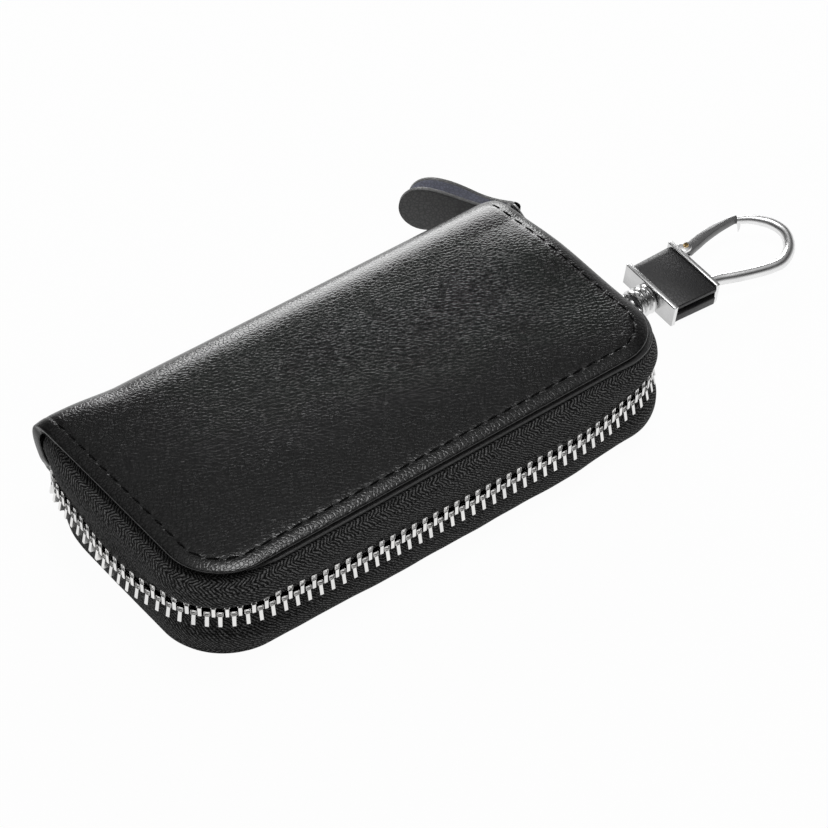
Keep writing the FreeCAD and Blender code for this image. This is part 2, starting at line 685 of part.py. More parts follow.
def slider():
    """Zip slider: two plates with folded edges, the post between them and the bail."""
    low = f"{MIDDLE_Z} - slider_width / 2"
    plate = ("slider_plate", "slider_length", "slider_width")
    lip = (f"{SLIDER_ROOM} - tape_room / 2", "slider_length", "lip_height")
    lip_low = low
    lip_high = f"{MIDDLE_Z} + slider_width / 2 - lip_height"
    lip_out = f"{CHAIN_X} + tape_room / 2"
    lip_in = f"{CHAIN_X} - {SLIDER_ROOM}"
    bail = block(
        "bail_stock",
        ("bail_height", "bail_length", "bail_width"),
        (SLIDER_FACE, f"{SLIDER_END} - bail_setback - bail_length", f"{MIDDLE_Z} - bail_width / 2"),
    )
    window = block(
        "bail_window",
        ("bail_height - bail_thickness", "bail_length - 2 * bail_thickness", "bail_width + 2 * overrun"),
        (SLIDER_FACE, f"{SLIDER_END} - bail_setback - bail_length + bail_thickness",
         f"{MIDDLE_Z} - bail_width / 2 - overrun"),
    )
    item = fuse(
        "slider_joined",
        block("slider_outer", plate, (f"{CHAIN_X} + {SLIDER_ROOM}", SLIDER_START, low)),
        block("slider_inner", plate, (f"{CHAIN_X} - {SLIDER_ROOM} - slider_plate", SLIDER_START, low)),
        block(
            "slider_post",
            (f"2 * {SLIDER_ROOM}", "post_length", "post_thickness"),
            (f"{CHAIN_X} - {SLIDER_ROOM}", f"{SLIDER_END} - post_length",
             f"{MIDDLE_Z} - post_thickness / 2"),
        ),
        block("lip_outer_low", lip, (lip_out, SLIDER_START, lip_low)),
        block("lip_outer_high", lip, (lip_out, SLIDER_START, lip_high)),
        block("lip_inner_low", lip, (lip_in, SLIDER_START, lip_low)),
        block("lip_inner_high", lip, (lip_in, SLIDER_START, lip_high)),
        cut("bail", bail, window),
    )
    publish(item, "zip_slider")


def link_tip():
    """Far bar of the parked pull link."""
    turn = math.radians(value("link_angle"))
    reach = value("link_length")
    return Vector(
        value(LINK_X) + reach * math.cos(turn),
        value(LINK_Y) + reach * math.sin(turn),
        value(MIDDLE_Z),
    )


def pull_link():
    """Wire link from the slider's bail to the pull tab."""
    low, high = "-link_height / 2", "link_height / 2"
    item = fuse(
        "link_joined",
        rod("link_near", "link_wire", "link_height", ("0", "0", low), "Z"),
        rod("link_far", "link_wire", "link_height", ("link_length", "0", low), "Z"),
        rod("link_low", "link_wire", "link_length", ("0", "0", low), "X"),
        rod("link_high", "link_wire", "link_length", ("0", "0", high), "X"),
        ball("link_corner_a", "link_wire", ("0", "0", low)),
        ball("link_corner_b", "link_wire", ("0", "0", high)),
        ball("link_corner_c", "link_wire", ("link_length", "0", low)),
        ball("link_corner_d", "link_wire", ("link_length", "0", high)),
    )
    item.Placement = Placement(Vector(), Rotation(Vector(0, 0, 1), value("link_angle")))
    set_base(item, LINK_X, LINK_Y, MIDDLE_Z)
    publish(item, "pull_link")


def pull_tab():
    """Leather strip folded round the link's far bar, narrow at the fold and round at its end."""
    inner = "(link_wire / 2 + fold_play)"
    outer = f"({inner} + tab_thickness)"
    ri, ro, reach = value(inner), value(outer), value("tab_length")
    fold = doc.addObject("PartDesign::Body", "tab_fold")
    sketch = new_sketch(fold, "tab_section", "XY_Plane", "-tab_width / 2")
    upper, outer_turn, lower, _, lower_in, inner_turn, upper_in, _ = trace(sketch, (
        (line((reach, ro), (0, ro)), False),
        (arc((0, 0), ro, 90, 270), False),
        (line((0, -ro), (reach, -ro)), False),
        (line((reach, -ro), (reach, -ri)), False),
        (line((reach, -ri), (0, -ri)), False),
        (arc((0, 0), ri, 90, 270), True),
        (line((0, ri), (reach, ri)), False),
        (line((reach, ri), (reach, ro)), False),
    ))
    square_up(sketch, level=(upper, lower, lower_in, upper_in))
    sketch.addConstraint(Sketcher.Constraint("Coincident", outer_turn, 3, *ORIGIN))
    sketch.addConstraint(Sketcher.Constraint("Coincident", inner_turn, 3, *ORIGIN))
    bind(sketch, outer, "Radius", outer_turn)
    bind(sketch, inner, "Radius", inner_turn)
    for strip, end in ((upper, 1), (lower, 2), (lower_in, 1), (upper_in, 2)):
        bind(sketch, "tab_length", "DistanceX", *ORIGIN, strip, end)
    pad(fold, sketch, "tab_width")

    shape = doc.addObject("PartDesign::Body", "tab_shape")
    outline = new_sketch(shape, "tab_outline", "XZ_Plane", f"-{outer} - overrun")
    end_radius = value("tab_width / 2")
    middle = reach - end_radius
    root = -ro - value("overrun")
    half = value("tab_root_width / 2")
    run = middle - root
    lean = math.degrees(math.asin((end_radius - half) / run))
    low = on_circle((middle, 0), end_radius, lean - 90)
    high = on_circle((middle, 0), end_radius, 90 - lean)
    _, round_end, _, heel = trace(outline, (
        (line((root, -half), low), False),
        (arc((middle, 0), end_radius, lean - 90, 90 - lean), False),
        (line(high, (root, half)), False),
        (line((root, half), (root, -half)), False),
    ))
    square_up(outline, upright=(heel,))
    bind(outline, "tab_width / 2", "Radius", round_end)
    bind(outline, "tab_root_width", "DistanceY", heel, 2, heel, 1)
    bind(outline, "tab_length - tab_width / 2", "DistanceX", *ORIGIN, round_end, 3)
    pad(shape, outline, f"2 * {outer} + 2 * overrun")

    item = overlap("tab_joined", fold, shape)
    item.Placement = Placement(link_tip(), Rotation(Vector(0, 0, 1), value("tab_angle")))
    publish(item, "pull_tab")


LINING_TOP = "(leather_thickness + turn_in_thickness + tape_thickness + lining_thickness)"
ROD_X = "(panel_length / 2 - rail_inset)"
ROD_Z = f"({LINING_TOP} + knuckle_diameter / 2 + rod_lift)"


def key_rail():
    """Rail plate with knuckles between the key hooks, its rod and its two rivets."""
    plate = block(
        "rail_flat",
        ("rail_width", RAIL_LENGTH, "rail_plate"),
        (ROD_X, f"-{RAIL_LENGTH} / 2", LINING_TOP),
    )
    gap = f"({KEY_PITCH} - key_eye_width - 2 * rod_play)"
    knuckles = []
    for number in range(KEY_HOOKS + 1):
        middle = f"({number} - {KEY_HOOKS} / 2) * {KEY_PITCH}"
        base = (ROD_X, f"{middle} - {gap} / 2", ROD_Z)
        knuckles.append(rod(f"rail_knuckle_{number}", "knuckle_diameter", gap, base, "Y"))
    joined = fuse("rail_joined", plate, *knuckles)
    bore = rod(
        "rail_bore", "rod_diameter + 2 * rod_play", f"{RAIL_LENGTH} + 2 * overrun",
        (ROD_X, f"-{RAIL_LENGTH} / 2 - overrun", ROD_Z), "Y",
    )
    bored = cut("rail_bored", joined, bore)
    rooms = []
    for number in range(KEY_HOOKS):
        middle = f"({number} - ({KEY_HOOKS} - 1) / 2) * {KEY_PITCH}"
        width = "(key_eye_width + 2 * rod_play)"
        rooms.append(block(
            f"rail_eye_room_{number}",
            ("knuckle_diameter / 2 + layer_gap", width, "rail_plate + 2 * overrun"),
            (ROD_X, f"{middle} - {width} / 2", f"{LINING_TOP} - overrun"),
        ))
    shaped = cut("rail_shaped", bored, fuse("rail_rooms", *rooms))
    holes = []
    for number, (x, y) in enumerate(rivet_places()):
        base = (x, y, f"{LINING_TOP} - overrun")
        holes.append(
            rod(f"rail_hole_{number}", "rivet_shank + 2 * rivet_play", "rail_plate + 2 * overrun", base, "Z")
        )
    publish(cut("rail_drilled", shaped, fuse("rail_holes", *holes)), "key_rail")

    pin = rod("rail_rod_stock", "rod_diameter", RAIL_LENGTH, (ROD_X, f"-{RAIL_LENGTH} / 2", ROD_Z), "Y")
    publish(pin, "rail_rod")

    floor = "(leather_thickness + turn_in_thickness)"
    rivets = []
    for number, (x, y) in enumerate(rivet_places()):
        top = f"({LINING_TOP} + rail_plate)"
        head = rod(f"rivet_head_{number}", "rivet_head", "rivet_head_height", (x, y, top), "Z")
        shank = rod(f"rivet_shank_{number}", "rivet_shank", f"{top} - {floor}", (x, y, floor), "Z")
        rivets.append(fuse(f"rivet_{number}", head, shank))
    pair = doc.addObject("Part::Compound", "rivet_pair")
    pair.Links = rivets
    publish(pair, "rail_rivets")


def key_hook(number):
    """Spring hook for one key: an eye on the rod, a shank and a slit loop."""
    name = f"key_hook_{number}"
    middle = f"(({number} - ({KEY_HOOKS} + 1) / 2) * {KEY_PITCH})"
    low = f"{ROD_Z} - key_thickness / 2"
    half_width, half_hole = f"{KEY_WIDTH} / 2", f"({KEY_WIDTH} / 2 - key_loop_wall)"
    loop_end = f"({ROD_X} - key_shank - key_loop_length)"

    def stadium(part, half, inset, height, base):
        far = f"({loop_end} + {half} + {inset})"
        near = f"({ROD_X} - key_shank - {half} - {inset})"
        return fuse(
            f"{name}_{part}",
            block(f"{name}_{part}_bar", (f"{near} - {far}", f"2 * {half}", height),
                  (far, f"{middle} - {half}", base)),
            rod(f"{name}_{part}_far", f"2 * {half}", height, (far, middle, base), "Z"),
            rod(f"{name}_{part}_near", f"2 * {half}", height, (near, middle, base), "Z"),
        )

    outside = stadium("outside", half_width, "0", "key_thickness", low)
    inside = stadium(
        "inside", half_hole, "key_loop_wall", "key_thickness + 2 * overrun", f"{low} - overrun"
    )
    eye_start = f"{middle} - key_eye_width / 2"
    body = fuse(
        f"{name}_joined",
        cut(f"{name}_loop", outside, inside),
        block(f"{name}_shank", ("key_shank + key_loop_wall / 2", "key_eye_width", "key_thickness"),
              (f"{ROD_X} - key_shank - key_loop_wall / 2", eye_start, low)),
        rod(f"{name}_eye", "knuckle_diameter", "key_eye_width", (ROD_X, eye_start, ROD_Z), "Y"),
    )
    slit = block(
        f"{name}_slit",
        ("key_slit", "key_loop_wall + overrun", "key_thickness + 2 * overrun"),
        (f"{ROD_X} - key_shank - {half_width} - key_slit", f"{middle} + {half_hole} - overrun / 2",
         f"{low} - overrun"),
    )
    bore = rod(
        f"{name}_bore", "rod_diameter + 2 * rod_play", "key_eye_width + 2 * overrun",
        (ROD_X, f"{eye_start} - overrun", ROD_Z), "Y",
    )
    publish(cut(f"{name}_bored", cut(f"{name}_open", body, slit), bore), name)


STRAP_ROOM = "(eye_wire / 2 + strap_play)"
EYE_X = "(panel_length / 2 + strap_reach)"
EYE_Z = f"(leather_thickness + turn_in_thickness + {STRAP_ROOM})"
YOKE_X = f"({EYE_X} + eye_length)"


def hook_strap():
    """Strap from the lower seam, round the eye bar and lapped back onto itself."""
    body = doc.addObject("PartDesign::Body", "strap_stock")
    sketch = new_sketch(body, "strap_section", "XZ_Plane", "-hook_side - strap_width / 2")
    ri, thick = value(STRAP_ROOM), value("turn_in_thickness")
    ro = ri + thick
    centre = (value(EYE_X), value(EYE_Z))
    low, high = centre[1] - ro, centre[1] - ri
    heel = value("panel_length / 2 - turn_in_width + layer_gap")
    lap = centre[0] - value("strap_lap")
    lean = 2 * math.degrees(math.atan(ri / value("strap_lap")))
    joint = (lap - thick / math.sin(math.radians(lean)), high)
    base, outer, slope, ledge, end = trace(sketch, (
        (line((heel, low), (centre[0], low)), False),
        (arc(centre, ro, -90, 90 + lean), False),
        (line(on_circle(centre, ro, 90 + lean), joint), False),
        (line(joint, (heel, high)), False),
        (line((heel, high), (heel, low)), False),
    ))
    floor, inner, _ = trace(sketch, (
        (line((lap, high), (centre[0], high)), False),
        (arc(centre, ri, -90, 90 + lean), False),
        (line(on_circle(centre, ri, 90 + lean), (lap, high)), False),
    ))
    square_up(sketch, level=(base, ledge, floor), upright=(end,))
    sketch.addConstraint(Sketcher.Constraint("Coincident", outer, 3, inner, 3))
    bind(sketch, STRAP_ROOM, "Radius", inner)
    bind(sketch, f"{STRAP_ROOM} + turn_in_thickness", "Radius", outer)
    bind(sketch, EYE_X, "DistanceX", *ORIGIN, outer, 3)
    bind(sketch, EYE_Z, "DistanceY", *ORIGIN, outer, 3)
    bind(sketch, "turn_in_thickness", "DistanceY", end, 2, end, 1)
    pad(body, sketch, "strap_width")
    publish(body, "hook_strap")


PLATE_X = f"({YOKE_X} + rib_start + 2 * rib_pitch + rib_length + swivel_play)"
SLEEVE_X = f"({PLATE_X} + plate_thickness)"
FAR_PLATE_X = f"({SLEEVE_X} + sleeve_length)"
FRAME_END = f"({FAR_PLATE_X} + plate_thickness)"


def swivel_eye():
    """Eye round the strap's bar, with the ribbed post, its neck and its retaining head."""
    near, far = "hook_side - eye_width / 2", "hook_side + eye_width / 2"
    ribs = []
    for number in range(3):
        x = f"{YOKE_X} + rib_start + {number} * rib_pitch"
        ribs.append(rod(f"rib_{number}", "rib_diameter", "rib_length", (x, "hook_side", EYE_Z), "X"))
    shoulder = f"({PLATE_X} - swivel_play)"
    head = f"({SLEEVE_X} + swivel_play)"
    item = fuse(
        "eye_joined",
        rod("eye_bar", "eye_wire", "eye_width", (EYE_X, near, EYE_Z), "Y"),
        rod("eye_yoke", "eye_wire", "eye_width", (YOKE_X, near, EYE_Z), "Y"),
        rod("eye_side_a", "eye_wire", "eye_length", (EYE_X, near, EYE_Z), "X"),
        rod("eye_side_b", "eye_wire", "eye_length", (EYE_X, far, EYE_Z), "X"),
        ball("eye_corner_a", "eye_wire", (EYE_X, near, EYE_Z)),
        ball("eye_corner_b", "eye_wire", (EYE_X, far, EYE_Z)),
        ball("eye_corner_c", "eye_wire", (YOKE_X, near, EYE_Z)),
        ball("eye_corner_d", "eye_wire", (YOKE_X, far, EYE_Z)),
        rod("post_round", "post_core", f"{shoulder} - {YOKE_X}", (YOKE_X, "hook_side", EYE_Z), "X"),
        rod("post_neck", "neck_diameter", f"{head} - {shoulder}", (shoulder, "hook_side", EYE_Z), "X"),
        rod("post_head", "head_diameter", "head_length", (head, "hook_side", EYE_Z), "X"),
        *ribs,
    )
    publish(item, "swivel_eye")


GATE_X = f"({FRAME_END} + gate_pivot_reach)"
GATE_Y = "(hook_side + gate_pivot_side)"


def hook_frame():
    """Two end plates on side rods, bored for the swivel neck, with ears for the gate pin."""
    plate = ("plate_thickness", "plate_width", "plate_height")
    side = "hook_side - plate_width / 2"
    floor = f"({EYE_Z} - plate_height / 2)"
    rod_z = "sleeve_top - sleeve_upper - sleeve_slot / 2"
    span = f"{FAR_PLATE_X} - {SLEEVE_X}"
    ear = ("gate_pivot_reach + ear_width / 2", "ear_width", "ear_thickness")
    ear_side = f"{GATE_Y} - ear_width / 2"
    ear_high = f"{EYE_Z} + gate_height / 2 + ear_gap"
    ear_low = f"{EYE_Z} - gate_height / 2 - ear_gap - ear_thickness"
    joined = fuse(
        "frame_joined",
        block("frame_near_plate", plate, (PLATE_X, side, floor)),
        block("frame_far_plate", plate, (FAR_PLATE_X, side, floor)),
        rod("frame_rod_a", "sleeve_rod", span, (SLEEVE_X, "hook_side - sleeve_rod_side", rod_z), "X"),
        rod("frame_rod_b", "sleeve_rod", span, (SLEEVE_X, "hook_side + sleeve_rod_side", rod_z), "X"),
        block("frame_ear_high", ear, (FRAME_END, ear_side, ear_high)),
        block("frame_ear_low", ear, (FRAME_END, ear_side, ear_low)),
    )
    bore = rod(
        "frame_bore", "neck_diameter + 2 * neck_play", "plate_thickness + 2 * overrun",
        (f"{PLATE_X} - overrun", "hook_side", EYE_Z), "X",
    )
    pin_hole = rod(
        "frame_pin_hole", "pin_diameter", "plate_height + 2 * overrun",
        (GATE_X, GATE_Y, f"{floor} - overrun"), "Z",
    )
    publish(cut("frame_bored", joined, fuse("frame_holes", bore, pin_hole)), "hook_frame")


def hook_sleeve():
    """Leather sleeve folded over the frame's rods, notched for the swivel head."""
    start = f"({SLEEVE_X} + sleeve_play)"
    length = "sleeve_length - 2 * sleeve_play"
    side = "(hook_side - sleeve_width / 2)"
    lower = "(sleeve_top - sleeve_upper - sleeve_slot - sleeve_lower)"
    joined = fuse(
        "sleeve_joined",
        block("sleeve_over", (length, "sleeve_width", "sleeve_upper"),
              (start, side, "sleeve_top - sleeve_upper")),
        block("sleeve_under", (length, "sleeve_width", "sleeve_lower"), (start, side, lower)),
        block("sleeve_back", (length, "sleeve_fold", f"sleeve_top - {lower}"),
              (start, f"{side} + sleeve_width - sleeve_fold", lower)),
    )
    notch = block(
        "sleeve_notch",
        ("notch_length + overrun", "notch_width", "sleeve_lower + overrun"),
        (f"{start} - overrun", "hook_side - notch_width / 2", f"{lower} - overrun"),
    )
    publish(cut("sleeve_notched", joined, notch), "hook_sleeve")


LOOP_X = f"({FRAME_END} + loop_reach)"


def hook_loop():
    """Bent wire of the snap hook, from the frame round the end bow to the nose."""
    start = (value(FRAME_END), value("hook_side - leg_side"))
    centre = (value(LOOP_X), value("hook_side"))
    radius = value("loop_radius")
    across, along = centre[1] - start[1], centre[0] - start[0]
    span = math.hypot(along, across)
    heading = math.degrees(math.atan2(across, along) - math.asin(radius / span))
    path = doc.addObject("Sketcher::SketchObject", "loop_path")
    path.setExpression("Placement.Base.z", cells(EYE_Z))
    leg, bow = trace(path, (
        (line(start, on_circle(centre, radius, heading - 90)), False),
        (arc(centre, radius, heading - 90, value("nose_angle")), False),
    ), closed=False)
    bind(path, "loop_radius", "Radius", bow)
    bind(path, LOOP_X, "DistanceX", *ORIGIN, bow, 3)
    bind(path, FRAME_END, "DistanceX", *ORIGIN, leg, 1)
    section = doc.addObject("Part::Circle", "loop_section")
    section.setExpression("Radius", cells("loop_wire / 2"))
    turn = Rotation(Vector(0, 0, 1), heading).multiply(TURNS["X"])
    section.Placement = Placement(Vector(*start, value(EYE_Z)), turn)
    item = doc.addObject("Part::Sweep", "loop_sweep")
    item.Sections = [section]
    item.Spine = (path, ["Edge1", "Edge2"])
    item.Solid = True
    publish(item, "hook_loop")


def gate():
    """Tapered gate on its pin, with the pocket of its spring, the pin and the spring."""
    nose = on_circle((value(LOOP_X), value("hook_side")), value("loop_radius"), value("nose_angle"))
    back = math.radians(value("nose_angle") + 90)
    gap = value("tip_gap + tip_radius")
    tip = (nose[0] + gap * math.cos(back), nose[1] + gap * math.sin(back))
    pivot = (value(GATE_X), value(GATE_Y))
    root, end = value("knuckle_radius"), value("tip_radius")
    span = math.dist(pivot, tip)
    axis = math.degrees(math.atan2(tip[1] - pivot[1], tip[0] - pivot[0]))
    lean = math.degrees(math.acos((root - end) / span))
    body = doc.addObject("PartDesign::Body", "gate_stock")
    sketch = new_sketch(body, "gate_outline", "XY_Plane", f"{EYE_Z} - gate_height / 2")
    knuckle, _, point, _ = trace(sketch, (
        (arc(pivot, root, axis + lean, axis - lean + 360), False),
        (line(on_circle(pivot, root, axis - lean), on_circle(tip, end, axis - lean)), False),
        (arc(tip, end, axis - lean, axis + lean), False),
        (line(on_circle(tip, end, axis + lean), on_circle(pivot, root, axis + lean)), False),
    ))
    bind(sketch, "knuckle_radius", "Radius", knuckle)
    bind(sketch, "tip_radius", "Radius", point)
    bind(sketch, GATE_X, "DistanceX", *ORIGIN, knuckle, 3)
    pad(body, sketch, "gate_height")
    bore = rod(
        "gate_bore", "pin_diameter + 2 * pin_play", "gate_height + 2 * overrun",
        (GATE_X, GATE_Y, f"{EYE_Z} - gate_height / 2 - overrun"), "Z",
    )
    room = rod(
        "gate_spring_room", "2 * spring_room_radius", "spring_room_height",
        (GATE_X, GATE_Y, f"{EYE_Z} - spring_room_height / 2"), "Z",
    )
    publish(cut("gate_bored", body, fuse("gate_holes", bore, room)), "hook_gate")

    ears = "(gate_height + 2 * ear_gap + 2 * ear_thickness)"
    pin = rod("gate_pin_stock", "pin_diameter", ears, (GATE_X, GATE_Y, f"{EYE_Z} - {ears} / 2"), "Z")
    publish(pin, "gate_pin")

    base = f"({EYE_Z} - spring_height / 2)"
    tube = cut(
        "spring_tube",
        rod("spring_outside", "2 * spring_radius", "spring_height", (GATE_X, GATE_Y, base), "Z"),
        rod("spring_inside", "2 * (spring_radius - spring_strip)", "spring_height + 2 * overrun",
            (GATE_X, GATE_Y, f"{base} - overrun"), "Z"),
    )
    split = block(
        "spring_split",
        ("spring_radius + overrun", "spring_slit", "spring_height + 2 * overrun"),
        (f"{GATE_X} - spring_radius - overrun", f"{GATE_Y} - spring_slit / 2", f"{base} - overrun"),
    )
    publish(cut("spring_rolled", tube, split), "gate_spring")


for cover in COVERS:
    cover_layers(cover)
    tape(cover)
    teeth(cover)
    end_stops(cover)
card_pocket()
spine()
slider()
pull_link()
pull_tab()
key_rail()
for number in range(1, KEY_HOOKS + 1):
    key_hook(number)
hook_strap()
swivel_eye()
hook_frame()
hook_sleeve()
hook_loop()
gate()
doc.recompute()

for item in doc.Objects:
    faults = [state for state in item.State if state in ("Invalid", "Error")]
    if faults:
        raise RuntimeError(f"{item.Label}: {faults}")
os.makedirs("parts", exist_ok=True)
for item in finished:
    shape = item.Shape
    if shape.isNull() or not shape.isValid() or not shape.Solids:
        raise RuntimeError(f"{item.Label}: no valid solid")
    shape.exportStep(f"parts/{item.Label}.step")
    box = shape.BoundBox
    print(
        f"{item.Label:20s} solids {len(shape.Solids):3d}  volume {shape.Volume:10.1f}  "
        f"x {box.XMin:7.2f} {box.XMax:7.2f}  y {box.YMin:7.2f} {box.YMax:7.2f}  "
        f"z {box.ZMin:6.2f} {box.ZMax:6.2f}"
    )
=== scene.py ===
"""Zip-around key case with a swivel snap hook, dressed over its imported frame."""

import logging
import math
from dataclasses import dataclass
from enum import Enum
from functools import cache
from typing import Callable, Iterable, Optional, Sequence

import bmesh
import bpy
import numpy as np
from mathutils import Matrix, Vector


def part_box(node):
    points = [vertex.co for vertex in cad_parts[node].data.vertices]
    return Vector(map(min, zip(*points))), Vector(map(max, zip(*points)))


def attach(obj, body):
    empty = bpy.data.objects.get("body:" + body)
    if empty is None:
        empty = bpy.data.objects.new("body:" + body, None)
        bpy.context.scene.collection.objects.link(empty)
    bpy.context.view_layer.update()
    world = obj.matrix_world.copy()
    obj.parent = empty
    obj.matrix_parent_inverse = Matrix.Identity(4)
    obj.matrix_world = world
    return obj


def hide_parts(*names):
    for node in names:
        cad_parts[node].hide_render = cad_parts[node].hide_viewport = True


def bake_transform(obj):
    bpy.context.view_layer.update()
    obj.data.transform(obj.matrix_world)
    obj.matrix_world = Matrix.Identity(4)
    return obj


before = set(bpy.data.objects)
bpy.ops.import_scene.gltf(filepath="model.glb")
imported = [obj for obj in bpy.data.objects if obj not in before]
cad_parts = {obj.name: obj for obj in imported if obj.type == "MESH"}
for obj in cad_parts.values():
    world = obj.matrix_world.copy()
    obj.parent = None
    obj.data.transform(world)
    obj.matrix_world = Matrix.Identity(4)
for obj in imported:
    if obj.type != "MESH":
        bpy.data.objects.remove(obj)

LOG = logging.getLogger("key_case")
MM = 0.001
SHEET_EDGE = 55.0
METAL_SMOOTH = 40.0
KNOT_STEPS = 24
BLUR_STEPS = 11
TINY = 1e-6
Array = np.ndarray
Piece = bpy.types.Object
Points = Sequence[tuple[float, float]]
Rows = Sequence[Sequence[float]]
Socket = bpy.types.NodeSocket
Words = Sequence[str]


class Side(Enum):
    """The two covers of the case."""

    UPPER = 1
    LOWER = -1

    @property
    def word(self) -> str:
        """First word of the names of this side's nodes."""
        return self.name.lower()

    @property
    def body(self) -> str:
        """Body that this side's pieces ride on."""
        return "upper_cover" if self is Side.UPPER else "lower_case"


class Slot(Enum):
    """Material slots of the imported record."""

    LEATHER = "leather"
    INNER = "leather_inner"
    LINING = "lining"
    TAPE = "zip_tape"
    TEETH = "zip_metal"
    CHROME = "chrome"
    PIN = "pin"


def ease(value: Array, low: float, high: float) -> Array:
    """Ramp smoothly from 0 at low to 1 at high.

    Args:
        value: Numbers to ramp.
        low: Where the ramp starts.
        high: Where the ramp ends.

    Returns:
        Numbers from 0 to 1.
    """
    share = np.clip((np.asarray(value, float) - low) / (high - low), 0.0, 1.0)
    return share * share * (3.0 - 2.0 * share)


def hump(value: Array, middle: float, width: float) -> Array:
    """Bell of height 1 at the middle, falling off over the width."""
    return np.exp(-(((np.asarray(value, float) - middle) / width) ** 2))


def nearest(share: Array, count: int) -> Array:
    """Row numbers for shares of the way through so many rows."""
    return np.rint(share * (count - 1)).astype(int)


def travelled(line: Array) -> Array:
    """Distance run along a line at each of its points."""
    return np.concatenate(((0.0,), np.cumsum(np.linalg.norm(np.diff(line, axis=0), axis=1))))


def at_marks(line: Array, run: Array, marks: Array) -> Array:
    """Places on a line at distances along it.

    Args:
        line: Points of the line, one to a row.
        run: Distance run at each point.
        marks: Distances wanted.

    Returns:
        One place to a row.
    """
    return np.column_stack([np.interp(marks, run, line[:, axis]) for axis in range(line.shape[1])])


def even(line: Array, count: int) -> Array:
    """Divide a fine line into evenly spaced points."""
    run = travelled(line)
    return at_marks(line, run, np.linspace(0, run[-1], count))


def flowing(points: Rows, count: int) -> Array:
    """Lay a smooth line through points and divide it evenly.

    Args:
        points: Points that the line passes through.
        count: Number of points on the finished line.

    Returns:
        An array with one evenly spaced point to a row.
    """
    knots = np.asarray(points, float)
    padded = np.vstack((2 * knots[0] - knots[1], knots, 2 * knots[-1] - knots[-2]))
    fine = []
    for a, b, c, d in zip(padded, padded[1:], padded[2:], padded[3:]):
        for t in np.linspace(0, 1, KNOT_STEPS, endpoint=False):
            square, cube = 2 * a - 5 * b + 4 * c - d, 3 * b - a - 3 * c + d
            fine.append(0.5 * (2 * b + (c - a) * t + square * t**2 + cube * t**3))
    fine.append(knots[-1])
    return even(np.array(fine), count)


def graded(run: Array, marks: Points, blur: float) -> Array:
    """Values along a run through given marks, smoothed.

    Args:
        run: Distances to give values for.
        marks: Distances with the value at each.
        blur: Distance to either side that the smoothing reaches.

    Returns:
        One value for each distance.
    """
    table = np.asarray(marks, float)
    shifts = np.linspace(-blur, blur, BLUR_STEPS)
    return np.mean([np.interp(run + shift, table[:, 0], table[:, 1]) for shift in shifts], axis=0)


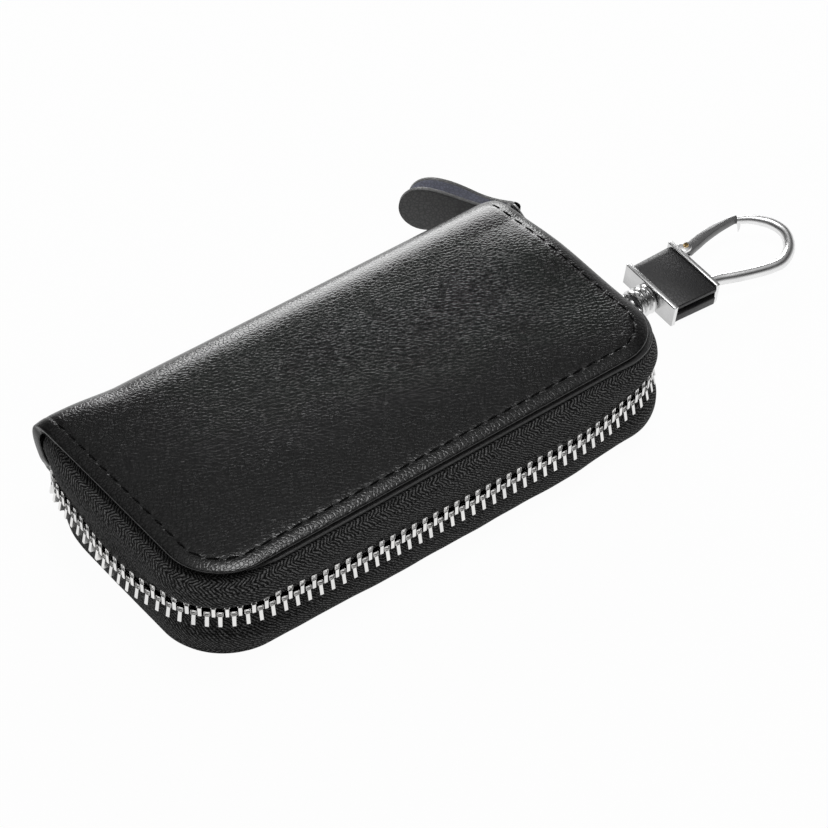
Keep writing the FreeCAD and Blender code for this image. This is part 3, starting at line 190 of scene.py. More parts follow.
class Bench:
    """Operator steps that the pieces share. Pieces are made in millimetres and settled in metres."""

    @staticmethod
    def clear() -> None:
        """Deselect everything."""
        bpy.ops.object.select_all(action="DESELECT")

    @staticmethod
    def take(*objects: Piece) -> None:
        """Select only these objects, the first one active."""
        Bench.clear()
        for item in objects:
            item.select_set(True)
        bpy.context.view_layer.objects.active = objects[0]

    @staticmethod
    def named(name: str) -> Piece:
        """Name the object that an operator has just made."""
        item = bpy.context.object
        item.name = name
        item.data.name = name
        return item

    @staticmethod
    def apply_scale(item: Piece, scale: Sequence[float]) -> None:
        """Scale the active object and apply it."""
        item.scale = scale
        bpy.ops.object.transform_apply(location=True, rotation=True, scale=True)

    @staticmethod
    def surface(name: str, along: int, across: int, shape: Callable[[Array, Array], Array]) -> Piece:
        """Lay a grid of faces on a surface; its UV map runs from 0 to 1 both ways.

        Args:
            name: Name of the piece.
            along: Faces along the grid.
            across: Faces across it.
            shape: Gives the places for shares along and across the grid.

        Returns:
            The sheet, without thickness.
        """
        Bench.clear()
        bpy.ops.mesh.primitive_grid_add(x_subdivisions=along, y_subdivisions=across, size=1.0, calc_uvs=True)
        item = Bench.named(name)
        flat = np.empty(len(item.data.vertices) * 3)
        item.data.vertices.foreach_get("co", flat)
        shares = flat.reshape(-1, 3) + 0.5
        item.data.vertices.foreach_set("co", shape(shares[:, 0], shares[:, 1]).ravel())
        item.data.update()
        return item

    @staticmethod
    def join(name: str, items: Sequence[Piece]) -> Piece:
        """Join objects into one."""
        Bench.take(*items)
        bpy.ops.object.join()
        return Bench.named(name)

    @staticmethod
    def weld(item: Piece, gap: float = 0.002) -> Piece:
        """Merge points that lie on each other and turn the faces outwards."""
        Bench.take(item)
        bpy.ops.object.mode_set(mode="EDIT")
        bpy.ops.mesh.select_all(action="SELECT")
        bpy.ops.mesh.remove_doubles(threshold=gap)
        bpy.ops.mesh.normals_make_consistent(inside=False)
        bpy.ops.object.mode_set(mode="OBJECT")
        return item

    @staticmethod
    def face(item: Piece, towards: Sequence[float]) -> Piece:
        """Flip an open sheet if most of its faces point away from a direction."""
        total = sum((polygon.normal * polygon.area for polygon in item.data.polygons), Vector())
        if total.dot(Vector(towards)) < 0:
            item.data.flip_normals()
        return item

    @staticmethod
    def modify(item: Piece, kind: str, **settings: object) -> Piece:
        """Add a modifier with settings and apply it."""
        Bench.take(item)
        bpy.ops.object.modifier_add(type=kind)
        modifier = item.modifiers[-1]
        for name, setting in settings.items():
            setattr(modifier, name, setting)
        bpy.ops.object.modifier_apply(modifier=modifier.name)
        return item

    @staticmethod
    def thicken(item: Piece, thickness: float, offset: float = -1.0) -> Piece:
        """Give a sheet its thickness."""
        return Bench.modify(item, "SOLIDIFY", thickness=thickness, offset=offset)

    @staticmethod
    def pick(item: Piece, kind: str, chosen: Callable[[object], bool]) -> None:
        """Open a piece for editing with some of its edges or faces selected.

        Args:
            item: The piece.
            kind: EDGE or FACE.
            chosen: Says of an edge or a face whether it is selected.
        """
        Bench.take(item)
        bpy.ops.object.mode_set(mode="EDIT")
        bpy.ops.mesh.select_mode(type=kind)
        bpy.ops.mesh.select_all(action="DESELECT")
        work = bmesh.from_edit_mesh(item.data)
        for element in work.edges if kind == "EDGE" else work.faces:
            element.select_set(chosen(element))
        bmesh.update_edit_mesh(item.data)

    @staticmethod
    def soften(
        item: Piece,
        width: float,
        segments: int = 2,
        steep: float = 50.0,
        keep: Optional[Callable[[Vector], bool]] = None,
    ) -> Piece:
        """Bevel the sharp edges of a piece.

        Args:
            item: The piece.
            width: Width of the bevel.
            segments: Steps of the bevel.
            steep: Angle in degrees from which an edge counts as sharp.
            keep: Says by an edge's middle whether it stays sharp.

        Returns:
            The same object.
        """
        def sharp(edge: bmesh.types.BMEdge) -> bool:
            middle = (edge.verts[0].co + edge.verts[1].co) / 2
            return edge.calc_face_angle(0.0) > math.radians(steep) and not (keep and keep(middle))

        Bench.pick(item, "EDGE", sharp)
        bpy.ops.mesh.bevel(offset=width, segments=segments, affect="EDGES", clamp_overlap=True)
        bpy.ops.object.mode_set(mode="OBJECT")
        return item

    @staticmethod
    def block(name: str, low: Sequence[float], high: Sequence[float]) -> Piece:
        """Add a box between two corners, ready to be shaped."""
        Bench.clear()
        bpy.ops.mesh.primitive_cube_add(size=1.0, location=[(a + b) / 2 for a, b in zip(low, high)])
        item = Bench.named(name)
        Bench.apply_scale(item, [b - a for a, b in zip(low, high)])
        return item

    @staticmethod
    def prism(name: str, outline: Points, low: float, high: float, axes: str) -> Piece:
        """Extrude a flat outline.

        Args:
            name: Name of the piece.
            outline: Corners of the outline in order.
            low: Where the extrusion starts.
            high: Where it ends.
            axes: The outline's two axes and the axis of the extrusion, as "yzx".

        Returns:
            The extruded piece.
        """
        Bench.clear()
        bpy.ops.mesh.primitive_circle_add(vertices=len(outline), fill_type="NGON")
        item = Bench.named(name)
        first, second, third = ("xyz".index(axis) for axis in axes)
        for vertex, corner in zip(item.data.vertices, outline):
            vertex.co[first], vertex.co[second], vertex.co[third] = corner[0], corner[1], low
        reach = [0.0, 0.0, 0.0]
        reach[third] = high - low
        bpy.ops.object.mode_set(mode="EDIT")
        bpy.ops.mesh.select_all(action="SELECT")
        bpy.ops.mesh.extrude_region_move(TRANSFORM_OT_translate={"value": reach})
        bpy.ops.mesh.select_all(action="SELECT")
        bpy.ops.mesh.normals_make_consistent(inside=False)
        bpy.ops.object.mode_set(mode="OBJECT")
        return item

    @staticmethod
    def turned(name: str, profile: Points, centre: Sequence[float], steps: int = 48) -> Piece:
        """Turn a profile round a line along X.

        Args:
            name: Name of the piece.
            profile: Places along X with the radius at each.
            centre: Y and Z of the line.
            steps: Steps round the line.

        Returns:
            The turned piece.
        """
        table = np.asarray(profile, float)

        def shape(u: Array, v: Array) -> Array:
            place, radius = table[nearest(u, len(table))].T
            angle = v * 2 * math.pi
            over, up = centre[0] + radius * np.cos(angle), centre[1] + radius * np.sin(angle)
            return np.column_stack((place, over, up))

        return Bench.weld(Bench.surface(name, len(table) - 1, steps, shape))

    @staticmethod
    def wire(name: str, route: Rows, radii: Sequence[float], closed: bool = False) -> Piece:
        """Draw a round wire along a smooth route.

        Args:
            name: Name of the piece.
            route: Control points of the wire's middle line.
            radii: Radius at each control point.
            closed: Whether the wire is a ring.

        Returns:
            The wire as a mesh.
        """
        Bench.clear()
        bpy.ops.curve.primitive_nurbs_path_add()
        item = Bench.named(name)
        curve = item.data
        curve.splines.clear()
        spline = curve.splines.new("NURBS")
        spline.points.add(len(route) - 1)
        for point, place, radius in zip(spline.points, route, radii):
            point.co = (*place, 1.0)
            point.radius = radius
        spline.use_cyclic_u = closed
        spline.use_endpoint_u = not closed
        spline.order_u = 4
        spline.resolution_u = 8
        curve.bevel_depth = 1.0
        curve.bevel_resolution = 6
        curve.use_fill_caps = not closed
        Bench.take(item)
        bpy.ops.object.convert(target="MESH")
        return Bench.weld(item)

    @staticmethod
    def strew(name: str, model: Piece, places: Iterable[Matrix]) -> Piece:
        """Copy a small model to each place and join the copies.

        Args:
            name: Name of the joined piece.
            model: The model, which is used up.
            places: Where the copies go.

        Returns:
            The joined piece.
        """
        copies = []
        for place in places:
            copy = model.copy()
            copy.data = model.data.copy()
            copy.data.transform(place)
            bpy.context.collection.objects.link(copy)
            copies.append(copy)
        bpy.data.objects.remove(model, do_unlink=True)
        return Bench.join(name, copies)

    @staticmethod
    def settle(item: Piece, finish: "Finish", slot: Slot, angle: float = 35.0) -> Piece:
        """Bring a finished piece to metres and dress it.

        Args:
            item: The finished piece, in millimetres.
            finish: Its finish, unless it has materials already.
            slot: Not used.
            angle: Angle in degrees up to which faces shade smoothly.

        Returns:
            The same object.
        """
        Bench.take(item)
        Bench.apply_scale(item, (MM, MM, MM))
        bpy.ops.object.shade_smooth_by_angle(angle=math.radians(angle))
        if not item.data.materials:
            item.data.materials.append(finish.material())
        return item

    @staticmethod
    def two_tone(item: Piece, finishes: Sequence["Finish"], second: Callable[[Vector], bool]) -> None:
        """Give a piece two finishes, the second one where its faces point a certain way."""
        item.data.materials.clear()
        for finish in finishes:
            item.data.materials.append(finish.material())
        for polygon in item.data.polygons:
            polygon.material_index = int(second(polygon.normal))


class Nodes:
    """Adds and links the nodes of one tree."""

    def __init__(self, tree: bpy.types.NodeTree) -> None:
        """Keep the tree."""
        self.tree = tree

    @classmethod
    def of(cls, owner: bpy.types.ID) -> "Nodes":
        """Empty node tree of a new material or world."""
        owner.use_nodes = True
        owner.node_tree.nodes.clear()
        return cls(owner.node_tree)

    def fill(self, node: bpy.types.Node, inputs: dict) -> None:
        """Give a node's inputs, by name or number, their values or link them to sockets."""
        for name, filling in inputs.items():
            if isinstance(filling, Socket):
                self.tree.links.new(filling, node.inputs[name])
            else:
                node.inputs[name].default_value = filling

    def add(self, kind: str, inputs: Optional[dict] = None, **settings: object) -> bpy.types.Node:
        """Add a node, give it settings and fill or link its inputs.

        Args:
            kind: Node type.
            inputs: Values or sockets by input name or number.
            settings: Properties of the node.

        Returns:
            The node.
        """
        node = self.tree.nodes.new(kind)
        for name, setting in settings.items():
            setattr(node, name, setting)
        self.fill(node, inputs or {})
        return node

    def math(self, operation: str, *values: object) -> Socket:
        """Add a Math node and give its output."""
        return self.add("ShaderNodeMath", dict(enumerate(values)), operation=operation).outputs[0]

    def vector(self, operation: str, inputs: dict) -> Socket:
        """Add a Vector Math node and give its output."""
        return self.add("ShaderNodeVectorMath", inputs, operation=operation).outputs[0]

    def ramp(self, value: Socket, low: float, high: float, start: float, end: float) -> Socket:
        """Map a value from low and high to start and end."""
        return self.add("ShaderNodeMapRange", {"Value": value, 1: low, 2: high, 3: start, 4: end}).outputs[0]

    def noise(self, place: Socket, scale: object, detail: float) -> bpy.types.Node:
        """Add a noise texture over places."""
        return self.add("ShaderNodeTexNoise", {"Vector": place, "Scale": scale, "Detail": detail})

    def stretched(self, place: Socket, scale: Sequence[float]) -> Socket:
        """Places scaled along each axis."""
        return self.add("ShaderNodeMapping", {"Vector": place, "Scale": scale}).outputs[0]

    def mix(self, share: Socket, one: Sequence[float], other: Sequence[float]) -> Socket:
        """Mix two colours by a share; the node's colours are its inputs 6 and 7 and its output 2."""
        return self.add("ShaderNodeMix", {0: share, 6: one, 7: other}, data_type="RGBA").outputs[2]


def grey(level: float, tint: Sequence[float] = (1.0, 1.0, 1.0)) -> tuple[float, float, float, float]:
    """Colour of one grey level with a slight tint."""
    return (level * tint[0], level * tint[1], level * tint[2], 1.0)


class Effects:
    """Shader node groups that several finishes share. Weave sizes are in millimetres."""

    grain_stretch = (0.88, 1.0, 1.0)
    grain_drift = 0.0004
    valley_width = 0.2
    fine_scale = 1.7
    fine_share = 0.5
    patch_scale = 0.16
    patch_noise, patch_tone = (0.35, 0.65), (0.85, 1.0)
    sway, sway_scale = 1.6, 0.55
    herringbone = 1.25
    band_strength, twill_loss = 0.5, 0.1
    rib_share, thread_share = 0.75, 0.25
    threads_per_rib = 2.5
    fuzz_scale, fuzz_height, weave_height = 2.2, 0.5, 0.75
    weave_lit, fuzz_noise, fuzz_tone = (0.25, 0.85), (0.38, 0.62), (0.15, 1.0)
    scratch_stretch, scratch_scale = (1.0, 9.0, 9.0), 4.0
    smear_noise = (0.3, 0.75)

    @staticmethod
    def start(name: str, place: Words, sizes: Words, outputs: Words) -> tuple[Nodes, dict]:
        """Start a group with its sockets.

        Args:
            name: Name of the group.
            place: Names of the inputs that are vectors.
            sizes: Names of the inputs that are numbers.
            outputs: Names of the outputs.

        Returns:
            The group's nodes and its input sockets by name.
        """
        tree = bpy.data.node_groups.new(name, "ShaderNodeTree")
        table = ((place, "INPUT", "Vector"), (sizes, "INPUT", "Float"), (outputs, "OUTPUT", "Float"))
        for names, way, kind in table:
            for socket in names:
                tree.interface.new_socket(socket, in_out=way, socket_type=f"NodeSocket{kind}")
        nodes = Nodes(tree)
        entry = nodes.add("NodeGroupInput")
        return nodes, {socket: entry.outputs[socket] for socket in (*place, *sizes)}

    @classmethod
    @cache
    def hide_grain(cls) -> bpy.types.NodeTree:
        """Pebbled grain of leather: its height, and a tone with painted shade in its creases and broad random
        patches.
        """
        nodes, given = cls.start("hide_grain", ("Vector",), ("Pebble", "Crease"), ("Height", "ShadeAndTone"))
        drawn = nodes.stretched(given["Vector"], cls.grain_stretch)
        drift = nodes.noise(drawn, given["Crease"], detail=3.0)
        bent = nodes.vector("SUBTRACT", {0: drift.outputs["Color"], 1: (0.5, 0.5, 0.5)})
        place = nodes.vector("ADD", {0: drawn, 1: nodes.vector("SCALE", {0: bent, 3: cls.grain_drift})})
        cells = nodes.add(
            "ShaderNodeTexVoronoi", {"Vector": place, "Scale": given["Pebble"]}, feature="DISTANCE_TO_EDGE"
        )
        pebbles = nodes.ramp(cells.outputs["Distance"], 0.0, cls.valley_width, 0.0, 1.0)
        fine = nodes.noise(drawn, nodes.math("MULTIPLY", given["Pebble"], cls.fine_scale), detail=2.0)
        fine_height = nodes.math("MULTIPLY", fine.outputs["Fac"], cls.fine_share)
        height = nodes.math("MULTIPLY_ADD", pebbles, 1.0 - cls.fine_share, fine_height)
        broad = nodes.math("MULTIPLY", given["Crease"], cls.patch_scale)
        patches = nodes.noise(given["Vector"], broad, detail=3.0)
        worn = nodes.ramp(patches.outputs["Fac"], *cls.patch_noise, *cls.patch_tone)
        # The tone is the pebbles, dark at their edges as painted crease shade, times the broad random
        # patches.
        nodes.add("NodeGroupOutput", {"Height": height, "ShadeAndTone": nodes.math("MULTIPLY", pebbles, worn)})
        return nodes.tree

    @classmethod
    @cache
    def cloth_weave(cls) -> bpy.types.NodeTree:
        """Twill cloth with a herringbone band along one edge: height, and a tone with painted light on the
        raised threads and random fuzz.
        """
        sizes = ("Along", "Across", "Rib", "Band", "Lean")
        nodes, given = cls.start("cloth_weave", (), sizes, ("Height", "ShadeAndTone"))
        across, rib_size = given["Across"], given["Rib"]
        place = nodes.add("ShaderNodeCombineXYZ", {0: given["Along"], 1: across}).outputs[0]
        swayed = nodes.noise(place, cls.sway_scale, detail=2.0).outputs["Fac"]
        along = nodes.math("MULTIPLY_ADD", swayed, cls.sway, given["Along"])
        chevron = nodes.math("ADD", along, nodes.math("PINGPONG", across, cls.herringbone))
        twill = nodes.math("MULTIPLY_ADD", across, given["Lean"], along)
        inner = nodes.math("GREATER_THAN", across, given["Band"])
        banded = nodes.math("MULTIPLY", chevron, nodes.math("SUBTRACT", 1.0, inner))
        line = nodes.math("ADD", nodes.math("MULTIPLY", twill, inner), banded)
        turn = nodes.math("MULTIPLY", nodes.math("DIVIDE", line, rib_size), 2 * math.pi)
        strength = nodes.math("MULTIPLY_ADD", inner, -cls.twill_loss, cls.band_strength)
        rib = nodes.math("MULTIPLY_ADD", nodes.math("SINE", turn), strength, 0.5)
        ribs = nodes.math("DIVIDE", across, rib_size)
        threads = nodes.math("MULTIPLY", ribs, cls.threads_per_rib * 2 * math.pi)
        cross = nodes.math("MULTIPLY_ADD", nodes.math("SINE", threads), 0.5, 0.5)
        fuzz = nodes.noise(place, cls.fuzz_scale, detail=3.0).outputs["Fac"]
        ribbed = nodes.math("MULTIPLY", rib, cls.rib_share)
        woven = nodes.math("MULTIPLY_ADD", cross, cls.thread_share, ribbed)
        raised = nodes.math("MULTIPLY", woven, cls.weave_height)
        height = nodes.math("MULTIPLY_ADD", fuzz, cls.fuzz_height, raised)
        # Raised threads are painted lighter and sunken ones darker, as light and shade would fall; the fuzz
        # varies the tone at random.
        lit = nodes.ramp(woven, *cls.weave_lit, 0.0, 1.0)
        dusty = nodes.ramp(fuzz, *cls.fuzz_noise, *cls.fuzz_tone)
        nodes.add("NodeGroupOutput", {"Height": height, "ShadeAndTone": nodes.math("MULTIPLY", lit, dusty)})
        return nodes.tree

    @classmethod
    @cache
    def handling(cls) -> bpy.types.NodeTree:
        """Fine scratches and smears of handling: a smear mask and a scratch height."""
        nodes, given = cls.start("handling", ("Vector",), ("Scale",), ("Smear", "Scratch"))
        smear = nodes.noise(given["Vector"], given["Scale"], detail=4.0).outputs["Fac"]
        drawn = nodes.stretched(given["Vector"], cls.scratch_stretch)
        scale = nodes.math("MULTIPLY", given["Scale"], cls.scratch_scale)
        lines = nodes.noise(drawn, scale, detail=2.0).outputs["Fac"]
        mask = nodes.ramp(smear, *cls.smear_noise, 0.0, 1.0)
        nodes.add("NodeGroupOutput", {"Smear": mask, "Scratch": lines})
        return nodes.tree


@dataclass(frozen=True)
class Finish:
    """A finish by name; each kind of finish dresses its own surface."""

    name: str

    def material(self) -> bpy.types.Material:
        """Give the finish's material, made once."""
        if self.name in bpy.data.materials:
            return bpy.data.materials[self.name]
        made = bpy.data.materials.new(self.name)
        nodes = Nodes.of(made)
        surface = nodes.add("ShaderNodeBsdfPrincipled")
        nodes.add("ShaderNodeOutputMaterial", {"Surface": surface.outputs[0]})
        self.dress(nodes, surface)
        return made

    def dress(self, nodes: Nodes, surface: bpy.types.Node) -> None:
        """Fill in the surface; each kind of finish has its own way."""
        raise NotImplementedError

    @staticmethod
    def place(nodes: Nodes, kind: str = "Object") -> Socket:
        """Places in the piece's own frame, or texture coordinates of another kind."""
        return nodes.add("ShaderNodeTexCoord").outputs[kind]

    @staticmethod
    def bump(nodes: Nodes, height: Socket, strength: float, depth: float) -> Socket:
        """Normals of a surface with a height laid on it."""
        sizes = {"Strength": strength, "Distance": depth, "Height": height}
        return nodes.add("ShaderNodeBump", sizes).outputs[0]


@dataclass(frozen=True)
class LeatherFinish(Finish):
    """Grained leather with a satin dressing."""

    dark: tuple = grey(0.001)
    light: tuple = grey(0.019)
    smooth: float = 0.17
    rough: float = 0.25
    smooth_from: float = 0.8
    pebble: float = 1250.0
    crease: float = 420.0
    relief: float = 0.29
    depth: float = 0.00014

    def dress(self, nodes: Nodes, surface: bpy.types.Node) -> None:
        """Lay grain, painted crease shade with random tone, and gloss on the leather."""
        sizes = {"Vector": self.place(nodes), "Pebble": self.pebble, "Crease": self.crease}
        grain = nodes.add("ShaderNodeGroup", sizes, node_tree=Effects.hide_grain())
        # The tone is dark in the creases between the pebbles, which is painted shade, and varies in broad
        # random patches.
        tone = grain.outputs["ShadeAndTone"]
        nodes.fill(surface, {
            "Base Color": nodes.mix(tone, self.dark, self.light),
            "Roughness": nodes.ramp(tone, 0.0, self.smooth_from, self.rough, self.smooth),
            "Normal": self.bump(nodes, grain.outputs["Height"], self.relief, self.depth),
        })


@dataclass(frozen=True)
class ClothFinish(Finish):
    """Woven cloth that follows the piece's own UV map; its sizes are in millimetres."""

    length: float = 100.0
    width: float = 10.0
    rib: float = 0.84
    band: float = 4.0
    lean: float = -1.4
    dark: tuple = grey(0.004)
    light: tuple = grey(0.24)
    smooth: float = 0.55
    rough: float = 0.85
    gloss: float = 0.15
    relief: float = 0.85
    depth: float = 0.0004

    def dress(self, nodes: Nodes, surface: bpy.types.Node) -> None:
        """Weave the cloth along and across its UV map."""
        both = nodes.add("ShaderNodeSeparateXYZ", {0: self.place(nodes, "UV")}).outputs
        sizes = {
            "Along": nodes.math("MULTIPLY", both[0], self.length),
            "Across": nodes.math("MULTIPLY", both[1], self.width),
            "Rib": self.rib,
            "Band": self.band,
            "Lean": self.lean,
        }
        weave = nodes.add("ShaderNodeGroup", sizes, node_tree=Effects.cloth_weave())
        # The tone carries the weave's painted light and shade on its threads.
        tone = weave.outputs["ShadeAndTone"]
        nodes.fill(surface, {
            "Base Color": nodes.mix(tone, self.dark, self.light),
            "Specular IOR Level": self.gloss,
            "Roughness": nodes.ramp(tone, 0.0, 1.0, self.rough, self.smooth),
            "Normal": self.bump(nodes, weave.outputs["Height"], self.relief, self.depth),
        })


@dataclass(frozen=True)
class MetalFinish(Finish):
    """Plated or bare metal with the marks of handling."""

    colour: tuple = grey(0.82)
    worn: tuple = grey(0.7)
    polish: float = 0.06
    dull: float = 0.16
    scale: float = 160.0
    relief: float = 0.03
    depth: float = 0.0001

    def dress(self, nodes: Nodes, surface: bpy.types.Node) -> None:
        """Lay smears and fine scratches on the metal."""
        sizes = {"Vector": self.place(nodes), "Scale": self.scale}
        marks = nodes.add("ShaderNodeGroup", sizes, node_tree=Effects.handling())
        smear = marks.outputs["Smear"]
        nodes.fill(surface, {
            "Metallic": 1.0,
            "Base Color": nodes.mix(smear, self.colour, self.worn),
            "Roughness": nodes.ramp(smear, 0.0, 1.0, self.polish, self.dull),
            "Normal": self.bump(nodes, marks.outputs["Scratch"], self.relief, self.depth),
        })


# Cool cast of the painted sheen on the tab's inner faces.
COOL_SHEEN = (0.93, 0.95, 1.1)
PURPLISH = (1.0, 0.97, 1.06)
WARM = (1.0, 0.99, 0.97)
BLACK_LEATHER = LeatherFinish("black_leather")
EDGE_LEATHER = LeatherFinish(
    "edge_leather", dark=grey(0.012), light=grey(0.03), rough=0.5, smooth=0.4, relief=0.1
)
TAB_LEATHER = LeatherFinish("tab_leather", dark=grey(0.07), light=grey(0.11), rough=0.6, smooth=0.45)
# Inner faces of the tab: a lighter suede-like side, made paler and cool by a painted sheen.
TAB_INNER_SHEEN = LeatherFinish("tab_inner_sheen", dark=grey(0.34, COOL_SHEEN), light=grey(0.5, COOL_SHEEN), rough=0.7, smooth=0.55)
HOOK_LEATHER = LeatherFinish(
    "hook_leather", dark=grey(0.008, PURPLISH), light=grey(0.018, PURPLISH), rough=0.5, smooth=0.4, relief=0.2
)
THREAD = ClothFinish(
    "black_thread", length=3.0, width=2.0, rib=0.6, band=0.0, dark=grey(0.003), light=grey(0.014), gloss=0.06
)
LINING_CLOTH, SPINE_CLOTH = (
    ClothFinish(name, length=110.0, width=width, rib=0.7, band=0.0, dark=grey(0.01), light=grey(0.05))
    for name, width in (("lining_cloth", 50.0), ("spine_cloth", 16.0))
)
CHROME = MetalFinish("chrome_plate", polish=0.12, dull=0.24)
LOOP_METAL = MetalFinish("loop_nickel", colour=grey(0.86), worn=grey(0.76), polish=0.24, dull=0.36)
GATE_METAL = MetalFinish("gate_plate", colour=grey(0.27), worn=grey(0.18), polish=0.3, dull=0.42)
ZIP_METAL = MetalFinish("zip_nickel", colour=grey(0.86, WARM), worn=grey(0.72), polish=0.14, dull=0.3)
# Darker nickel for the faces of the hook's end plates that look towards the case: painted shade.
SHADED_PLATE_METAL = MetalFinish("plate_nickel_shade", colour=grey(0.68), worn=grey(0.3), polish=0.2, dull=0.3, scale=70.0)
# Black nickel of the link; the gate's sides and underside also wear it as painted shade.
LINK_METAL_AND_GATE_SHADE = MetalFinish("black_nickel", colour=grey(0.12), worn=grey(0.08), polish=0.2, dull=0.35)
KEY_STEEL = MetalFinish("key_steel", colour=grey(0.66), worn=grey(0.55), polish=0.2, dull=0.34)
GILT_PIN = MetalFinish(
    "gilt_pin", colour=(0.8, 0.56, 0.26, 1.0), worn=(0.66, 0.45, 0.2, 1.0), polish=0.12, dull=0.25
)


@dataclass(frozen=True)
class CasePlan:
    """Plan of the closed case: straight sides, two rounded front corners and the spine behind."""

    half_length: float = 57.0
    half_width: float = 28.0
    corner: float = 12.0
    middle: float = 11.25
    half_height: float = 11.25
    zip_back: float = 27.0
    side_marks: int = 60
    front_marks: int = 120

    @property
    def centre(self) -> tuple[float, float]:
        """X and Y of the right corner's centre."""
        return self.half_length - self.corner, self.corner - self.half_width

    def depth(self, x: Array, y: Array) -> Array:
        """Distance in from the zip edge."""
        across, along = self.half_length - np.abs(x), y + self.half_width
        round_x, round_y = self.corner - across, self.corner - along
        in_corner = (round_x > 0) & (round_y > 0)
        return np.where(in_corner, self.corner - np.hypot(round_x, round_y), np.minimum(across, along))

    def run(self, x: Array, y: Array, inset: float) -> Array:
        """Distance from the middle of the front along a line set in from the zip edge.

        Args:
            x: Along the spine.
            y: From the zip to the spine.
            inset: Distance of the line in from the edge.

        Returns:
            Distances, negative to the left.
        """
        centre_x, centre_y = self.centre
        angle = np.arctan2(np.maximum(np.abs(x) - centre_x, 0.0), np.maximum(centre_y - y, TINY))
        straight = np.minimum(np.abs(x), centre_x) + np.maximum(y - centre_y, 0.0)
        return np.sign(x) * (straight + (self.corner - inset) * angle)

    def outward(self, path: Array) -> Array:
        """Directions in plan that point out of the case at places on its edge."""
        centre_x, centre_y = self.centre
        inner = np.column_stack((np.clip(path[:, 0], -centre_x, centre_x), np.maximum(path[:, 1], centre_y)))
        away = path - inner
        return away / np.linalg.norm(away, axis=1)[:, None]

    def edge(self, count: int) -> tuple[Array, Array, Array]:
        """Stations along the zip edge from the left end of the spine to the right.

        Args:
            count: Number of stations.

        Returns:
            Places in plan, outward directions and the distance run.
        """
        centre_x, centre_y = self.centre
        marks = self.side_marks
        angle = np.linspace(0, math.pi / 2, marks)
        side_y = np.linspace(self.zip_back, centre_y, marks)
        left = np.column_stack((np.full(marks, -self.half_length), side_y))
        bend_x, bend_y = -centre_x - self.corner * np.cos(angle), centre_y - self.corner * np.sin(angle)
        bend = np.column_stack((bend_x, bend_y))
        across = np.linspace(-centre_x, centre_x, self.front_marks)
        front = np.column_stack((across, np.full(self.front_marks, -self.half_width)))
        mirror = (-1, 1)
        right_bend, right = (bend * mirror)[::-1], (left * mirror)[::-1]
        path = even(np.vstack((left, bend[1:-1], front, right_bend[1:-1], right)), count)
        return path, self.outward(path), travelled(path)


